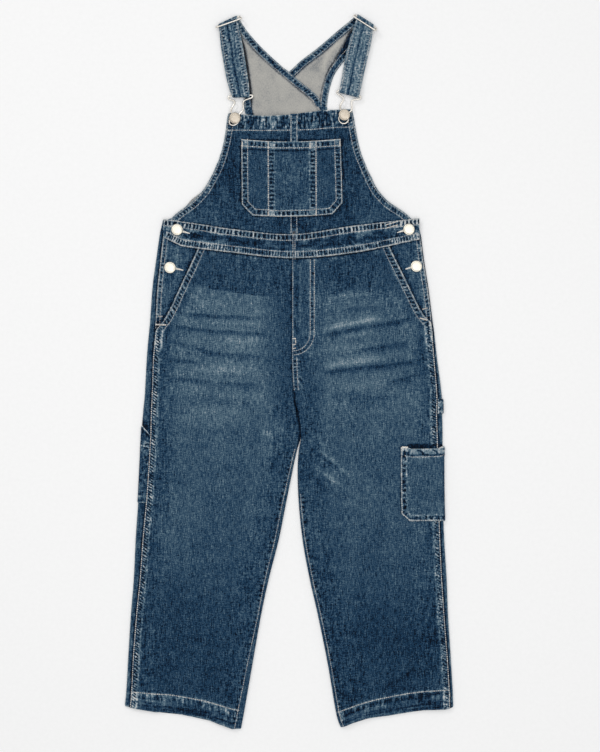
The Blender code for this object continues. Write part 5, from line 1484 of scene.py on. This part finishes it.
def makeToolPocket():
    plan, look = legPlans["Left"], toolLook
    top, middle, end = look["levels"]
    mouth, corner, bottom = (rowAt(plan, y) for y in (top, middle, end))
    rows = np.concatenate([np.linspace(mouth, corner, 73)[:-1], np.linspace(corner, bottom, 9)])
    reach = np.where(rows < corner, look["reach"], mix(*look["cut"], (rows - corner) / (bottom - corner)))

    def dress(x, y, row, s):
        seamLine = legLine(plan, mouth, corner, lambda r: 0 * r + look["reach"], 30)
        low = np.stack(legPoint(plan, np.full(12, bottom), np.linspace(look["cut"][1], 0, 12)), axis=1)
        mouthLine = np.stack([x[0], y[0]], axis=1)
        seams = [
            dict(path=np.concatenate([seamLine, low]), rows=(1.3, 8.8), sewn=(1.3,), pitch=8.5, pit=0.52,
                 ridge=0.16, tick=0.06, thread=0.7, mottle=0.22),
            dict(path=mouthLine[4:-8], rows=(-12.5,), line=0.35, thread=0.6),
        ]
        tone = look["tone"] + 0.05 * uneven(x, y, 14, 14, 801)
        tone, relief, mottle = sewSeams(x, y, tone, 0.2 * uneven(x, y, 18, 18, 802), seams, 811)
        fromMouth = (row - mouth) / (corner - mouth) * (top - middle)
        fromLow = (bottom - row) / (bottom - corner) * (middle - end)
        inHem = 1 - smooth(fromMouth, 12, 14)
        tone += (0.26 + 0.06 * uneven(x, y, 4, 4, 803) + 0.16 * uneven(x, fromMouth, 9, 2.4, 805)) * inHem
        for path, depth in look["folds"]:  # painted shade in the long wavy folds that rumple the mouth's hem
            tone -= depth * stroke(x, y, path, 1.35, 0.15)
        tone += 0.22 * bell(fromMouth - 6.5 - 1.8 * uneven(x, y, 12, 200, 808), 1.5) * inHem
        tone += 0.5 * bell(fromMouth - 0.8, 1.8) + 0.2 * bell(reach[:, None] - s, 1.1)
        # painted shade under the mouth's hem and at the side edge's foot; pale rubbed lower edge
        tone = tone - 0.22 * bell(fromMouth - 15.5, 2.0) + 0.3 * bell(fromLow, 1.1) - 0.12 * (s < 0.5)
        tone += 0.26 * smooth(uneven(x, fromLow, 6, 2.2, 806), 0, 0.6) * bell(fromLow - 6, 4.5) * (s > 2)
        tone -= 0.4 * bell(fromMouth - 12, 3) * smooth(x, 175, 178) * (1 - smooth(x, 184, 188))
        return tone, relief, mottle, seams, [look["tack"]]

    def sag(row, s):  # the mouth hangs a little between its ends
        return 0.055 * smooth(57 - s, 0, 10) * smooth(s, 2, 7) * (1 - smooth(row - mouth, 0, 0.4))

    wall = np.where(rows < mouth + 0.25, look["hemWall"], look["wall"])[:, None]
    makeWrap("toolPocket", "tool_pocket", plan, rows, rows, reach, wall, dress, 45, ["frontLegLeft"], sag)


loopLook = {"tone": 0.50, "wall": 1.0, "mottle": 0.22, "top": -44, "bottom": -66}


def makeHammerLoop():
    plan, look = legPlans["Left"], loopLook
    rows = np.linspace(rowAt(plan, look["top"]), rowAt(plan, look["bottom"]), 17)

    def dress(x, y, row, s):
        down = (row - rows[0]) / (rows[-1] - rows[0]) * (look["top"] - look["bottom"])
        tone = look["tone"] + puckered(x, y, 3, 3, 821, 0.3, 0.3)[0]
        # painted shade along its top edge and in a line 15 mm down; pale rubbed side edge
        tone = tone - 0.6 * bell(down - 1, 1.5) - 0.5 * bell(down - 15, 1.5) + 0.3 * bell(s - 6, 1.2)
        return tone, 0.3 * uneven(x, y, 4, 4, 822), look["mottle"], [], []

    reach = straight(plan["strip"], rows) - 0.3
    makeWrap("hammerLoop", "hammer_loop", plan, rows, rows, reach, look["wall"], dress, 5, ["backLegLeft"])


rulerLook = {"tone": 0.30, "wall": 1.0, "height": 112,  # rows: pale edges and stitches, how far down, tone
             "rows": ((0.6, 0.75), (25, 0.3), (34, 0.3), (104, 0.3), (112, 0.34))}


def makeRulerPocket():
    plan, look = legPlans["Right"], rulerLook
    place = np.linspace(0, 5, 81)
    sideRows = np.array([rowAt(plan, v) for v in straight([-85, -105, -125, -150, -177, -203], place)])
    seamRows = np.array([rowAt(plan, v) for v in straight([-99, -110, -125, -150, -177, -203], place)])

    def dress(x, y, row, s):
        down = place[:, None] / 5 * look["height"]
        tone = look["tone"] + 0.06 * uneven(x, y, 8, 12, 831) + puckered(x, y, 3, 5, 832, 0.12, 0.1)[0]
        for at, strength in look["rows"]:
            tone += strength * bell(down - at, 1.4)
        tone = tone - 0.3 * bell(down - 6, 3.0) - 0.14 * bell(down - 29, 2.0)
        return tone, 0.12 * uneven(x, y, 5, 6, 833), 0.14 + 0.2 * bell(down - 31, 7), [], []

    reach = straight(plan["strip"], seamRows) - 0.3
    makeWrap("rulerPocket", "ruler_pocket", plan, seamRows, sideRows, reach, look["wall"], dress, 9,
             ["backLegRight"])


makeToolPocket()
makeHammerLoop()
makeRulerPocket()
print("side pockets ready")


viewLook = {"centre": (17.7, -8.5), "lens": 80, "sensor": 36, "tall": 1158, "overhead": 44, "key": 16,
            "world": 0.49, "floor": 6000, "level": -0.4}


def placeCamera():
    data = bpy.data.cameras.new("camera")
    data.lens, data.sensor_width, data.sensor_fit = viewLook["lens"], viewLook["sensor"], "AUTO"
    camera = bpy.data.objects.new("camera", data)
    bpy.context.scene.collection.objects.link(camera)
    distance = viewLook["tall"] * mm * viewLook["lens"] / viewLook["sensor"]
    camera.location = (viewLook["centre"][0] * mm, viewLook["centre"][1] * mm, distance)
    bpy.context.scene.camera = camera


def softBox(name, place, size, power, aim=(0, 0, 0)):
    data = bpy.data.lights.new(name, "AREA")
    data.shape, data.size, data.energy = "SQUARE", size, power
    lamp = bpy.data.objects.new(name, data)
    lamp.location = place
    lamp.rotation_euler = (Vector(aim) - Vector(place)).to_track_quat("-Z", "Y").to_euler()
    bpy.context.scene.collection.objects.link(lamp)


def paperFloor():  # seamless white card: matt, a trace of grey
    material, tree, shader = startMaterial("whiteCard", {"Roughness": 0.9, "Specular IOR Level": 0.1})
    colourBy(tree, shader, grain(tree, 6, 6, 1), [(0.2, "#f8f8f8"), (0.8, "#fbfbfb")])
    half, level = viewLook["floor"], viewLook["level"]
    points = [(-half, -half, level), (half, -half, level), (half, half, level), (-half, half, level)]
    addObject("floor", points, [(0, 1, 2, 3)], [material])


placeCamera()
paperFloor()
softBox("overhead", (0.15, -0.1, 2.8), 3.0, viewLook["overhead"])
softBox("key", (-1.7, 2.2, 2.2), 0.8, viewLook["key"], (0.1, -0.2, 0))
world = bpy.data.worlds.new("room")
bpy.context.scene.world = world
world.use_nodes = True
sky = world.node_tree.nodes["Background"]
sky.inputs["Color"].default_value = (1, 1, 1, 1)
sky.inputs["Strength"].default_value = viewLook["world"]
bpy.context.scene.view_settings.view_transform = "Standard"
print("camera and light ready")
